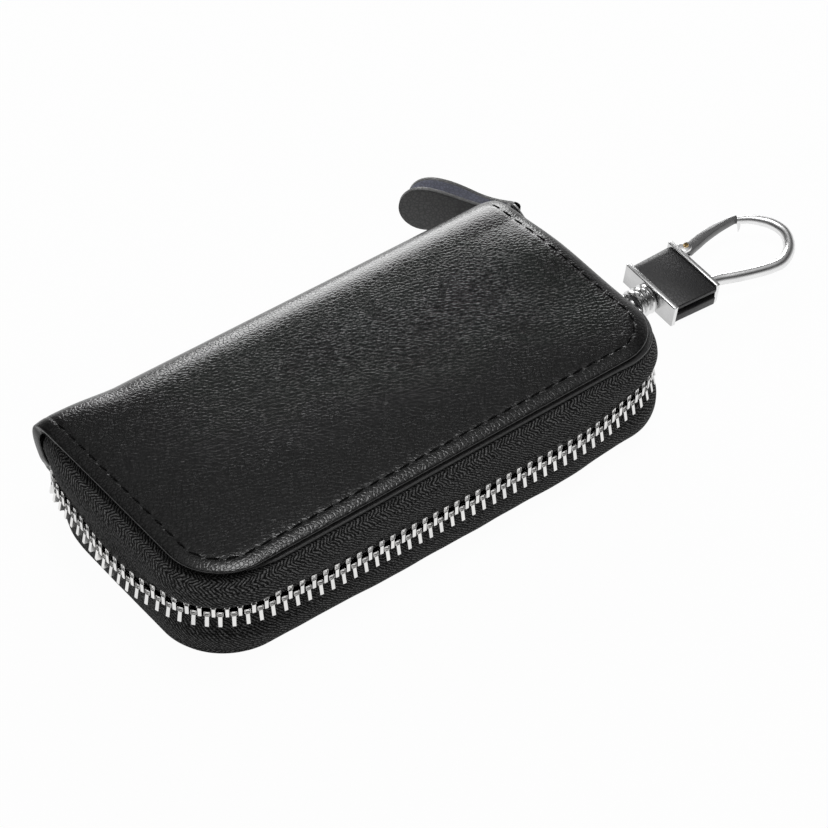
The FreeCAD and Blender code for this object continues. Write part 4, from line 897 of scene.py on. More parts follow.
@dataclass
class Cover:
    """One cover: its leather with half of the spine, its turned edge, its stitching and its lining.

    The crown, rim and bow shape the panel; the bend, spine and shoulder sizes shape the back; the pinch and
    drawn sizes gather the ends of the spine; a span is a pair of places between which something grows.
    """

    side: Side
    plan: CasePlan = CasePlan()
    crown: float = 1.0
    crown_reach: tuple = (26.0, 24.0)
    bow: float = 1.3
    bow_y: float = 8.0
    bow_spread: tuple = (14.0, 13.0)
    rim_lift: float = 0.45
    rim_roll: float = 0.55
    right_roll: float = 0.4
    right_insets: tuple = (9.0, 2.0)
    groove: float = 0.06
    groove_width: float = 0.45
    hole: float = 0.06
    pucker: float = 0.015
    pucker_inset: float = 1.2
    pucker_width: float = 0.7
    leather: float = 1.0
    leather_round: float = 0.32
    weld_gap: float = 0.01
    lip: float = 1.3
    lip_spans: tuple = ((49.0, 56.0), (18.5, 24.0), (8.0, 12.0))
    bend: float = 18.0
    spine_reach: float = 12.9
    spine_left_loss: float = 0.4
    shoulder_power: float = 3.0
    shoulder_left_power: float = 2.5
    end_from: float = 38.0
    pinch: float = 4.5
    pinch_loss: float = 2.2
    pinch_loss_span: tuple = (13.0, 8.0)
    pinch_height: float = 8.6
    pinch_width: float = 6.0
    drawn_span: tuple = (4.0, 20.0)
    drawn_above: float = 0.7
    drawn_above_span: tuple = (13.2, 11.2)
    drawn_below: float = 3.9
    drawn_below_span: tuple = (11.2, 6.0)
    seam_behind: float = 4.0
    seam_half: float = 1.3
    stitch: tuple = (2.6, 0.5, 0.3)
    stitch_inset: float = 3.0
    stitch_pitch: float = 3.6
    stitch_slant: float = 0.07
    stitch_turn: float = 0.42
    stitch_ahead: float = 0.4
    thread_rise: float = 0.02
    edge_gap: float = 0.1
    edge_layer: float = 0.7
    edge_round: float = 0.2
    edge_turn: float = 0.45
    edge_proud: float = 0.25
    edge_right: float = 0.75
    edge_left: float = 1.9
    edge_ends: float = 17.0
    edge_steps: tuple = (-2.4, -1.3, -0.6, -0.25, 0.0)
    lining_inset: float = 2.2
    lining_level: float = 7.8
    lining_back: float = 27.2
    lining_thickness: float = 0.6
    ripple: float = 0.1
    ripple_reach: tuple = (9.0, 7.0)
    ripple_shift: float = 1.3
    fold_from: float = 25.0
    fold_to: float = 30.5
    fold_drop: float = 6.0
    insets: tuple = (0.0, 0.5, 1.0, 1.6, 2.15, 2.5, 2.8, 3.0, 3.2, 3.5, 4.1, 5.2, 7.0)
    front_steps: int = 200
    corner_steps: int = 30
    side_steps: int = 80
    spine_steps: int = 48
    turn_marks: int = 2001
    lining_steps: tuple = (60, 12, 30)

    def lift(self, x: Array, y: Array) -> Array:
        """Height of the leather's outside above the middle of the case."""
        def swell(inward: Array, reach: float) -> Array:
            return 1 - (1 - np.clip(inward / reach, 0, 1)) ** 2

        plan = self.plan
        depth = plan.depth(x, y)
        right = ease(x, *(plan.half_length - inset for inset in self.right_insets))
        outer = 1 - np.clip(depth / (self.stitch_inset + right), 0, 1)
        roll = -(self.rim_roll + self.right_roll * right) * outer**2
        holes = 0.5 + 0.5 * np.cos(2 * math.pi * plan.run(x, y, self.stitch_inset) / self.stitch_pitch)
        seam = hump(depth, self.stitch_inset, self.groove_width) * (-self.groove - self.hole * holes**3)
        raised = hump(depth, self.stitch_inset + self.pucker_inset, self.pucker_width)
        pucker = self.pucker * raised * (1 - holes)
        level = plan.half_height + roll + seam + pucker
        if self.side is Side.LOWER:
            return np.minimum(level, plan.half_height)
        reach_x, reach_y = self.crown_reach
        crown = swell(plan.half_length - np.abs(x), reach_x) * swell(y + plan.half_width, reach_y)
        spread_x, spread_y = self.bow_spread
        bow = self.bow * hump(x, plan.half_length, spread_x) * hump(y, self.bow_y, spread_y)
        return level + self.rim_lift + self.crown * crown + bow

    def place(self, x: Array, y: Array, turn: Array) -> Array:
        """Places on the leather's outside.

        Args:
            x: Along the spine.
            y: From the zip to the spine, as far as the bend.
            turn: Share of the way from the bend to the middle of the spine.

        Returns:
            One place to a row.
        """
        end = ease(np.abs(x), self.end_from, self.plan.half_length)
        left = end * (x < 0)
        square = 2.0 / (self.shoulder_power + self.shoulder_left_power * left)
        angle = turn * math.pi / 2
        out = np.sin(angle) ** square
        rise = np.maximum(np.cos(angle), 0.0) ** square
        top = self.lift(x, np.minimum(y, self.bend))
        back = np.where(turn > 0, self.bend + (self.spine_reach - self.spine_left_loss * left) * out, y)
        level = np.where(turn > 0, top * rise, top)
        height = self.plan.middle + self.side.value * level
        tight = self.pinch - self.pinch_loss * ease(height, *self.pinch_loss_span)
        pinch = end * tight * hump(height, self.pinch_height, self.pinch_width) * (turn > 0) * out
        above = self.drawn_above * ease(height, *self.drawn_above_span)
        below = self.drawn_below * ease(height, *self.drawn_below_span)
        drawn = left * ease(back, *self.drawn_span) * (above + below)
        return np.column_stack((x + drawn, back - pinch, height))

    def turns(self) -> Array:
        """Steps round the shoulder, as shares of its angle, even for its middle and its left end together."""
        shares = np.linspace(0, 1, self.turn_marks)
        bend = np.full_like(shares, self.bend)
        places = (0.0, -self.plan.half_length)
        ends = (self.place(np.full_like(shares, x), bend, shares)[:, 1:] for x in places)
        run = sum(travelled(line) for line in ends)
        return np.interp(np.linspace(0, run[-1], self.spine_steps + 1), run, shares)

    def rim(self, depth: float) -> tuple[Array, Array, Array]:
        """Stations round the zip edge at a distance in from it, spine to spine.

        Args:
            depth: Distance in from the edge.

        Returns:
            X, Y and shoulder turn of each station.
        """
        plan = self.plan
        reach, front = plan.half_length - depth, -plan.half_width + depth
        radius = plan.corner - depth
        turn = self.turns()[1:]
        angle = np.linspace(0, math.pi / 2, self.corner_steps + 1)[1:-1]
        centre_x, centre_y = plan.centre
        side_y = np.linspace(self.bend, centre_y, self.side_steps + 1)
        front_x = np.linspace(-centre_x, centre_x, self.front_steps + 1)
        left_x, left_y = -centre_x - radius * np.cos(angle), centre_y - radius * np.sin(angle)
        ends = len(turn) + len(side_y)
        back_y = np.full(len(turn), self.bend)
        front_y = np.full(len(front_x), front)
        x = np.concatenate((np.full(ends, -reach), left_x, front_x, -left_x[::-1], np.full(ends, reach)))
        y = np.concatenate((back_y, side_y, left_y, front_y, left_y[::-1], side_y[::-1], back_y))
        flat = np.zeros(len(x) - 2 * len(turn))
        return x, y, np.concatenate((turn[::-1], flat, turn))

    def leather_sheet(self) -> Piece:
        """Leather of the cover, its zip edge and its half of the spine, as one thick sheet."""
        rings = [self.rim(depth) for depth in self.insets]
        xs, ys, ts = (np.array([ring[part] for ring in rings]) for part in range(3))
        stations = xs.shape[1]

        def edge(u: Array, v: Array) -> Array:
            at = nearest(v, len(rings)), nearest(u, stations)
            return self.place(xs[at], ys[at], ts[at])

        left = slice(0, self.spine_steps + self.side_steps + self.corner_steps + 1)
        row_x, row_y, row_t = (part[-1][left][::-1] for part in (-xs, ys, ts))

        def middle(u: Array, v: Array) -> Array:
            row = nearest(v, len(row_x))
            return self.place((2 * u - 1) * row_x[row], row_y[row], row_t[row])

        def at_seam(place: Vector) -> bool:
            return place.y > self.bend + self.seam_behind and abs(place.z - self.plan.middle) < self.seam_half

        strip = Bench.surface("edge_strip", stations - 1, len(rings) - 1, edge)
        panel = Bench.surface("panel_field", self.front_steps, len(row_x) - 1, middle)
        sheet = Bench.weld(Bench.join(f"{self.side.word}_leather_cover", (panel, strip)), self.weld_gap)
        Bench.face(sheet, (0, 0, self.side.value))
        self.roll_lip(sheet)
        Bench.soften(sheet, self.leather_round, segments=3, steep=SHEET_EDGE, keep=at_seam)
        return Bench.settle(sheet, BLACK_LEATHER, Slot.LEATHER)

    def roll_lip(self, sheet: Piece) -> None:
        """Thicken the leather, most where it is rolled at the left end of the spine."""
        lip = sheet.vertex_groups.new(name="lip")
        left, back, high = self.lip_spans
        for vertex in sheet.data.vertices:
            x, y, z = vertex.co
            lip.add([vertex.index], float(ease(-x, *left) * ease(y, *back) * ease(z, *high)), "REPLACE")
        thick = self.leather + self.lip
        Bench.modify(
            sheet, "SOLIDIFY", thickness=thick, offset=-1.0, vertex_group="lip",
            thickness_vertex_group=self.leather / thick, use_even_offset=True,
        )

    def turned_edge(self) -> Piece:
        """Second layer of leather under the rim, standing a little proud of it but for its left end."""
        x, y, turn = self.rim(0.0)
        near = turn < self.edge_turn
        x, y, turn = x[near], y[near], turn[near]
        out = self.plan.outward(np.column_stack((x, y)))
        half = self.plan.half_length
        left, right = (ease(hand * x, half - self.edge_ends, half) for hand in (-1, 1))
        proud = self.edge_proud + self.edge_right * right - self.edge_left * left
        reach = np.vstack([proud + step for step in self.edge_steps])
        bend = turn * math.pi / 2
        under = np.column_stack((0 * x, -np.sin(bend), -self.side.value * np.cos(bend)))

        def shape(u: Array, v: Array) -> Array:
            station, ring = nearest(u, len(x)), nearest(v, len(reach))
            moved = np.column_stack((x, y))[station] + out[station] * reach[ring, station][:, None]
            at = self.place(moved[:, 0], moved[:, 1], turn[station])
            return at + under[station] * (self.leather + self.edge_gap)

        edge = Bench.surface(f"{self.side.word}_edge_layer", len(x) - 1, len(reach) - 1, shape)
        Bench.face(edge, (0, 0, self.side.value))
        Bench.thicken(edge, self.edge_layer)
        Bench.soften(edge, self.edge_round, steep=SHEET_EDGE)
        return Bench.settle(edge, EDGE_LEATHER, Slot.LEATHER)

    def stitching(self) -> Piece:
        """Row of thread stitches sunk in their groove."""
        x, y, turn = self.rim(self.stitch_inset)
        line = self.place(x, y, turn)
        middle = int(np.argmin(np.hypot(x, y + self.plan.half_width)))
        run = travelled(line)
        run = run - run[middle]
        shown = run[turn < self.stitch_turn]
        first, last = (int(mark / self.stitch_pitch) for mark in (shown[0], shown[-1]))
        marks = (np.arange(first, last) + 0.5) * self.stitch_pitch
        Bench.clear()
        bpy.ops.mesh.primitive_uv_sphere_add(segments=8, ring_count=6, radius=0.5)
        stitch = Bench.named("stitch")
        Bench.apply_scale(stitch, self.stitch)
        places = []
        for point, beyond in zip(at_marks(line, run, marks), at_marks(line, run, marks + self.stitch_ahead)):
            run_on = Vector(beyond - point).normalized()
            over = Vector((0, 0, self.side.value)).cross(run_on).normalized()
            up = run_on.cross(over)
            slant = Matrix.Rotation(self.stitch_slant, 4, "Z")
            turn_in = Matrix((run_on, over, up)).transposed().to_4x4() @ slant
            places.append(Matrix.Translation(Vector(point) + up * self.thread_rise) @ turn_in)
        row = Bench.strew(f"{self.side.word}_stitching", stitch, places)
        return Bench.settle(row, THREAD, Slot.LEATHER)

    def lining(self) -> Piece:
        """Cloth lining inside the cover."""
        plan = self.plan
        reach, radius = plan.half_length - self.lining_inset, plan.corner - self.lining_inset
        centre = plan.centre[1]
        along, round_steps, straight = self.lining_steps
        angle = np.linspace(0, math.pi / 2, round_steps + 1)
        straight_y = np.linspace(centre, self.lining_back, straight + 1)[1:]
        row_y = np.concatenate((centre - radius * np.cos(angle), straight_y))
        row_x = np.concatenate((reach - radius + radius * np.sin(angle), np.full(straight, reach)))
        reach_x, reach_y = self.ripple_reach

        def shape(u: Array, v: Array) -> Array:
            row = nearest(v, len(row_y))
            x, y = (2 * u - 1) * row_x[row], row_y[row]
            ripple = self.ripple * np.sin(x / reach_x + self.ripple_shift) * np.sin(y / reach_y)
            return np.column_stack((x, y, plan.middle + self.side.value * (self.lining_level + ripple)))

        cloth = Bench.surface(f"{self.side.word}_lining_cloth", along, len(row_y) - 1, shape)
        Bench.face(cloth, (0, 0, -self.side.value))
        Bench.thicken(cloth, self.lining_thickness, 0.0)
        return Bench.settle(cloth, LINING_CLOTH, Slot.LINING)

    def build(self) -> list[Piece]:
        """Make the cover's pieces, bake the leather, edge and stitching where they stand and put the lining
        on its body.
        """
        leather, edge = self.leather_sheet(), self.turned_edge()
        thread, lining = self.stitching(), self.lining()
        case, body, plan = self.side.word, self.side.body, self.plan
        for piece in (leather, edge, thread):
            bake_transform(piece)
        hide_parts(f"{case}_leather", f"{case}_board", f"{case}_wadding", "spine_leather")
        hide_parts(f"{case}_turned_edge")
        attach(lining, body)
        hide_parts(f"{case}_lining")
        return [leather, edge, thread, lining]


TAPE_SECTIONS = {
    Side.UPPER: ((-4.6, 9.25), (-1.2, 9.25), (0.35, 9.05), (1.7, 8.2), (2.6, 6.9), (3.0, 5.2), (2.9, 3.6),
                 (2.7, 2.3), (2.6, 1.2)),
    Side.LOWER: ((-4.6, 9.25), (-1.2, 9.3), (0.8, 9.3), (2.1, 8.7), (2.9, 7.4), (3.0, 5.6), (2.85, 3.8),
                 (2.65, 2.4), (2.6, 1.2)),
}
TAPE_BULGES = {
    Side.UPPER: ((0, -1.2), (5, 1.6), (14, 2.9), (136, 2.9), (150, 2.2), (170, 2.3), (200, 2.6), (209, 2.0),
                 (214, 0.0)),
    Side.LOWER: ((0, -7.4), (3, -3.4), (7, 0.8), (14, 1.9), (40, 2.2), (52, 1.5), (62, 2.5), (90, 3.8),
                 (136, 4.3), (148, 3.0), (165, 2.7), (200, 2.4), (214, 0.0)),
}
TOOTH_BLOCKS = {
    Side.UPPER: (("bar", (-0.4, -1.7, -0.6), (0.4, 0.0, 1.65)),
                 ("cap", (-0.54, -1.5, 1.6), (0.54, -0.04, 2.85))),
    Side.LOWER: (("bar", (-0.4, -1.7, 0.25), (0.4, 0.0, 2.7)),
                 ("head", (-0.6, -1.5, -0.6), (0.6, -0.04, 0.35))),
}
TOOTH_LEANS = {Side.UPPER: 0.0, Side.LOWER: -12.0}


@dataclass
class ZipSide:
    """One side of the zip: its bulged tape, its row of teeth and its end stops.

    A tape's section gives distances out from the panel edge with heights from the middle. Its bulge, the tuck
    of its ends and the line of the chain give distances out from the panel edge by the distance run.
    """

    side: Side
    plan: CasePlan = CasePlan()
    tuck: tuple = ((0, -3.6), (5, -2.2), (13, 0.0), (200, 0.0), (209, -1.2), (214, -3.6))
    chain: tuple = (
        (0, -1.9), (4, 1.4), (12, 2.6), (28, 4.3), (36, 4.0), (45, 1.6), (51, 0.2), (58, 0.2), (66, 1.6),
        (76, 2.7), (90, 3.2), (119, 4.0), (136, 4.3), (143, 3.6), (152, 1.6), (157, 1.3), (166, 2.2),
        (174, 2.5), (183, 3.25), (210, 3.25), (214, 1.6),
    )
    blur: float = 3.0
    bulge_blur: float = 5.0
    waves: tuple = ((0.06, 0.3, 0.0), (0.03, 0.74, 1.0))
    section_bulge: float = 3.0
    section_edge: float = 2.6
    bulge_spans: tuple = ((9.5, 7.4), (1.6, 5.0))
    chain_span: tuple = (5.2, 1.8)
    tuck_span: tuple = (-4.6, 0.4)
    tape_below: float = 0.85
    tape_thickness: float = 0.5
    herringbone: float = 7.6
    twill_lean: float = -1.4
    pitch: float = 2.55
    row_start: float = 2.2
    row_end: float = 2.4
    tooth_round: float = 0.1
    tooth_steep: float = 40.0
    tooth_smooth: float = 30.0
    cap_border: float = 0.2
    cap_sink: float = 0.45
    cap_facing: float = 0.9
    stop: tuple = ((-0.8, -1.6, 0.1), (0.8, -0.1, 1.9))
    stop_round: float = 0.25
    stop_inset: float = 1.6
    slider_from: float = 13.6
    slider_to: float = 25.4
    stations: int = 420
    section_steps: int = 29
    chain_stations: int = 1600

    def tape(self) -> Piece:
        """Woven tape that bulges out from under the leather and turns in to the teeth."""
        path, out, run = self.plan.edge(self.stations)
        line = flowing(TAPE_SECTIONS[self.side], self.section_steps)
        chain = graded(run, self.chain, self.blur) - self.tape_below
        bulge = graded(run, TAPE_BULGES[self.side], self.bulge_blur)
        for height, rate, shift in self.waves:
            bulge = bulge + height * np.sin(run * rate + shift)
        under, over = self.bulge_spans
        full = ease(line[:, 1], *under) * ease(line[:, 1], *over)
        near = ease(line[:, 1], *self.chain_span)
        outer = ease(line[:, 0], *self.tuck_span)
        tuck = graded(run, self.tuck, self.blur)

        def shape(u: Array, v: Array) -> Array:
            station, step = nearest(u, len(path)), nearest(v, len(line))
            drawn_in = tuck[station]
            bulged = full[step] * (bulge[station] - drawn_in - self.section_bulge)
            offset = line[step, 0] + outer[step] * drawn_in
            offset += bulged + near[step] * (chain[station] - drawn_in - self.section_edge)
            plan = path[station] + out[station] * offset[:, None]
            return np.column_stack((plan, self.plan.middle + self.side.value * line[step, 1]))

        tape = Bench.surface(f"{self.side.word}_zip_tape", len(path) - 1, len(line) - 1, shape)
        Bench.face(tape, (0, 0, self.side.value))
        Bench.thicken(tape, self.tape_thickness)
        long, wide = float(run[-1]), float(travelled(line)[-1])
        lean = self.twill_lean * self.side.value
        name = f"{self.side.word}_tape_weave"
        weave = ClothFinish(name, length=long, width=wide, band=self.herringbone, lean=lean)
        Bench.settle(tape, weave, Slot.TAPE)
        return tape

    def tooth(self) -> Piece:
        """One metal tooth, its outer face at Y zero: a bar clamped on the tape with its coupling head."""
        parts = [Bench.block(*block) for block in TOOTH_BLOCKS[self.side]]
        self.recess(parts[1])
        softened = [
            Bench.soften(part, self.tooth_round, segments=1, steep=self.tooth_steep) for part in parts
        ]
        tooth = Bench.join("tooth", softened)
        tooth.data.transform(Matrix.Rotation(math.radians(TOOTH_LEANS[self.side]), 4, "X"))
        return tooth

    def recess(self, cap: Piece) -> None:
        """Sink the outer face of a tooth's cap inside its border."""
        Bench.pick(cap, "FACE", lambda face: face.normal.y > self.cap_facing)
        bpy.ops.mesh.inset(thickness=self.cap_border, depth=0.0)
        bpy.ops.transform.translate(value=(0, -self.cap_sink, 0))
        bpy.ops.object.mode_set(mode="OBJECT")

    def stations_of_chain(self) -> tuple[Array, Array, Array]:
        """The line that the outer faces of the teeth follow.

        Returns:
            Places in plan, outward directions and the distance run.
        """
        path, out, run = self.plan.edge(self.chain_stations)
        line = path + out * graded(run, self.chain, self.blur)[:, None]
        ahead = np.gradient(line, axis=0)
        ahead = ahead / np.linalg.norm(ahead, axis=1)[:, None]
        return line, np.column_stack((ahead[:, 1], -ahead[:, 0])), travelled(line)

    def stand(self, place: Array, out: Array) -> Matrix:
        """Where a tooth stands: its Y axis outwards and its Z axis to this side's tape."""
        away, up = Vector((*out, 0.0)), Vector((0, 0, self.side.value))
        turn = Matrix((away.cross(up), away, up)).transposed().to_4x4()
        return Matrix.Translation(Vector((*place, self.plan.middle))) @ turn

    def teeth(self) -> Piece:
        """Row of teeth on the tape's edge; the upper row leaves out those inside the parked slider."""
        line, out, run = self.stations_of_chain()
        first = self.row_start + self.pitch * (0.5 if self.side is Side.UPPER else 1.0)
        places = []
        for mark in np.arange(first, run[-1] - self.row_end, self.pitch):
            at = int(np.searchsorted(run, mark))
            parked = line[at, 0] > 0 and self.slider_from < line[at, 1] < self.slider_to
            if self.side is Side.LOWER or not parked:
                places.append(self.stand(line[at], out[at]))
        row = Bench.strew(f"{self.side.word}_zip_teeth", self.tooth(), places)
        return Bench.settle(row, ZIP_METAL, Slot.TEETH, self.tooth_smooth)

    def end_stops(self) -> Piece:
        """Clamped stops at both ends of the row of teeth."""
        line, out, run = self.stations_of_chain()
        stop = Bench.soften(Bench.block("stop", *self.stop), self.stop_round)
        marks = (int(np.searchsorted(run, mark)) for mark in (self.stop_inset, run[-1] - self.stop_inset))
        places = [self.stand(line[at], out[at]) for at in marks]
        stops = Bench.strew(f"{self.side.word}_zip_stops", stop, places)
        return Bench.settle(stops, ZIP_METAL, Slot.TEETH)

    def build(self) -> list[Piece]:
        """Make the tape, teeth and stops and put them on their body."""
        pieces = {"tape": self.tape(), "teeth": self.teeth(), "end_stops": self.end_stops()}
        for node, piece in pieces.items():
            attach(piece, self.side.body)
            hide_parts(f"{self.side.word}_{node}")
        return list(pieces.values())


@dataclass
class ZipSlider:
    """Slider parked at the spine: two shield plates with folded edges, stubs of the post and the bail.

    Plates, folds and stubs are given by their reach in X, the shield by Y and half its height, the arch of
    the bail by Y and X.
    """

    middle: float = 11.25
    outer: tuple = (60.8, 61.8)
    inner: tuple = (57.0, 58.0)
    folds: tuple = ((60.1, 60.9), (57.9, 58.7))
    stubs: tuple = ((57.9, 58.4), (60.4, 60.9))
    fold: float = 0.9
    plate_round: float = 0.28
    small_round: float = 0.2
    shield: tuple = (
        (14.25, 0.0), (14.3, 2.6), (14.9, 3.7), (17.0, 4.1), (19.6, 4.6), (21.5, 4.95), (23.6, 4.85),
        (24.6, 4.0), (24.75, 2.4), (24.2, 0.0),
    )
    post: tuple = ((22.3, 0.0), (23.4, 0.25), (24.2, 0.2), (24.2, -0.2), (23.4, -0.25))
    arch: tuple = (
        (18.0, 61.6), (18.0, 63.5), (18.4, 64.4), (19.4, 64.85), (22.6, 64.85), (23.6, 64.4), (24.0, 63.5),
        (24.0, 61.6), (23.1, 61.6), (23.1, 63.3), (22.7, 63.8), (22.2, 63.95), (19.8, 63.95), (19.3, 63.8),
        (18.9, 63.3), (18.9, 61.6),
    )
    bail_width: float = 2.2
    plate_steps: int = 28
    fold_steps: int = 60
    fold_part: tuple = (10, 44)

    def plate(self, name: str, reach: Sequence[float]) -> Piece:
        """One shield plate."""
        half = flowing(self.shield, self.plate_steps)
        outline = [(y, self.middle + rise) for y, rise in half]
        outline += [(y, self.middle - rise) for y, rise in half[-2:0:-1]]
        return Bench.soften(Bench.prism(name, outline, *reach, "yzx"), self.plate_round, segments=3)

    def edge(self, name: str, reach: Sequence[float], hand: int) -> Piece:
        """Folded edge of a plate, along one side of the shield."""
        first, last = self.fold_part
        half = flowing(self.shield, self.fold_steps)[first:last]
        outline = [(y, self.middle + hand * rise) for y, rise in half]
        outline += [(y, self.middle + hand * (rise - self.fold)) for y, rise in half[::-1]]
        return Bench.soften(Bench.prism(name, outline, *reach, "yzx"), self.small_round)

    def build(self) -> list[Piece]:
        """Make the slider and put it on its body."""
        parts = [self.plate("outer_shield", self.outer), self.plate("inner_shield", self.inner)]
        for number, reach in enumerate(self.folds):
            parts += [self.edge(f"fold_{number}_{hand}", reach, hand) for hand in (-1, 1)]
        post = [(y, self.middle + rise) for y, rise in self.post]
        for number, reach in enumerate(self.stubs):
            parts.append(Bench.prism(f"slider_post_{number}", post, *reach, "yzx"))
        half = self.bail_width / 2
        bail = Bench.prism("slider_bail", self.arch, self.middle - half, self.middle + half, "yxz")
        parts.append(Bench.soften(bail, self.small_round, segments=3))
        slider = Bench.settle(Bench.join("shield_slider", parts), ZIP_METAL, Slot.TEETH, METAL_SMOOTH)
        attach(slider, "slider")
        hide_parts("zip_slider")
        return [slider]


@dataclass
class PullTab:
    """Folded leather tab of the zip pull, its two leaves splayed, and the link that holds it.

    A leaf has its direction in degrees, its length, its hand and how far it hangs. The ring of the link has
    shares of the way from the bail to the bar with heights from the middle.
    """

    bar: tuple = (65.648, 31.239)
    bail: tuple = (62.9, 22.25)
    middle: float = 11.25
    leaves: tuple = ((137.0, 24.6, 1, 0.0), (126.5, 23.4, -1, -1.0))
    width: float = 11.0
    root: float = 2.9
    root_reach: float = 1.5
    tip_half: float = 0.05
    thickness: float = 1.0
    tab_round: float = 0.3
    loop: float = 1.1
    belly: float = 0.35
    closing: float = 0.8
    closing_from: float = 8.0
    hang_reach: float = 9.0
    ring: tuple = (
        (0.0, -1.5), (0.0, 0.0), (0.0, 1.5), (0.08, 1.8), (0.5, 2.0), (0.93, 1.9), (1.0, 1.6), (1.0, 0.0),
        (1.0, -1.6), (0.93, -1.9), (0.5, -2.0), (0.08, -1.8),
    )
    link_wire: float = 0.55
    leaf_steps: int = 40
    fold_steps: int = 22
    cross_steps: int = 16

    def half_width(self, reach: Array, length: float) -> Array:
        """Half width of a leaf at a distance from the bar."""
        radius = self.width / 2
        centre = length - radius
        taper = self.root / 2 + (radius - self.root / 2) * ease(reach, self.root_reach, centre)
        tip = np.sqrt(np.clip(radius**2 - np.clip(reach - centre, 0, radius) ** 2, 0.0, None))
        return np.where(reach > centre, np.maximum(tip, self.tip_half), taper)

    def tab(self) -> Piece:
        """Both leaves and the fold round the link's bar, as one sheet."""
        bar = np.array(self.bar)
        lines, halves, ends, drops = [], [], [], []
        for angle, length, hand, drop in self.leaves:
            leaf = length * np.sin(np.linspace(0, math.pi / 2, self.leaf_steps))
            along = np.array((math.cos(math.radians(angle)), math.sin(math.radians(angle))))
            aside = hand * np.array((-along[1], along[0]))
            belly = self.belly * np.sin(leaf / length * math.pi)
            stand = self.loop + belly - self.closing * ease(leaf, self.closing_from, length)
            lines.append(bar + along * leaf[:, None] + aside * stand[:, None])
            halves.append(self.half_width(leaf, length))
            drops.append(drop * ease(leaf, 0.0, self.hang_reach))
            ends.append(math.atan2(aside[1], aside[0]))
        sweep = np.linspace(ends[0], ends[1] + 2 * math.pi, self.fold_steps)[1:-1]
        fold = bar + self.loop * np.column_stack((np.cos(sweep), np.sin(sweep)))
        line = np.vstack((lines[0][::-1], fold, lines[1]))
        half = np.concatenate((halves[0][::-1], np.full(len(fold), self.root / 2), halves[1]))
        height = self.middle + np.concatenate((drops[0][::-1], np.zeros(len(fold)), drops[1]))

        def shape(u: Array, v: Array) -> Array:
            station = nearest(u, len(line))
            return np.column_stack((line[station], height[station] + (2 * v - 1) * half[station]))

        tab = Bench.surface("folded_pull_tab", len(line) - 1, self.cross_steps, shape)
        # The inner shell of the sheet takes the pale inner finish with its painted cool sheen.
        for finish in (TAB_LEATHER, TAB_INNER_SHEEN):
            tab.data.materials.append(finish.material())
        Bench.modify(tab, "SOLIDIFY", thickness=self.thickness, offset=0.0, material_offset=1)
        Bench.weld(tab)
        Bench.soften(tab, self.tab_round, steep=SHEET_EDGE)
        return Bench.settle(tab, TAB_LEATHER, Slot.LEATHER)

    def link(self) -> Piece:
        """Wire link from the slider's bail to the fold of the tab."""
        near, far = np.array(self.bail), np.array(self.bar)
        ring = [(*(near + (far - near) * share), self.middle + rise) for share, rise in self.ring]
        link = Bench.wire("wire_pull_link", ring, [self.link_wire] * len(ring), closed=True)
        return Bench.settle(link, LINK_METAL_AND_GATE_SHADE, Slot.CHROME, METAL_SMOOTH)

    def build(self) -> list[Piece]:
        """Make the tab and its link and put them on their bodies."""
        tab = self.tab()
        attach(tab, "tab")
        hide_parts("pull_tab")
        link = self.link()
        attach(link, "link")
        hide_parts("pull_link")
        return [tab, link]


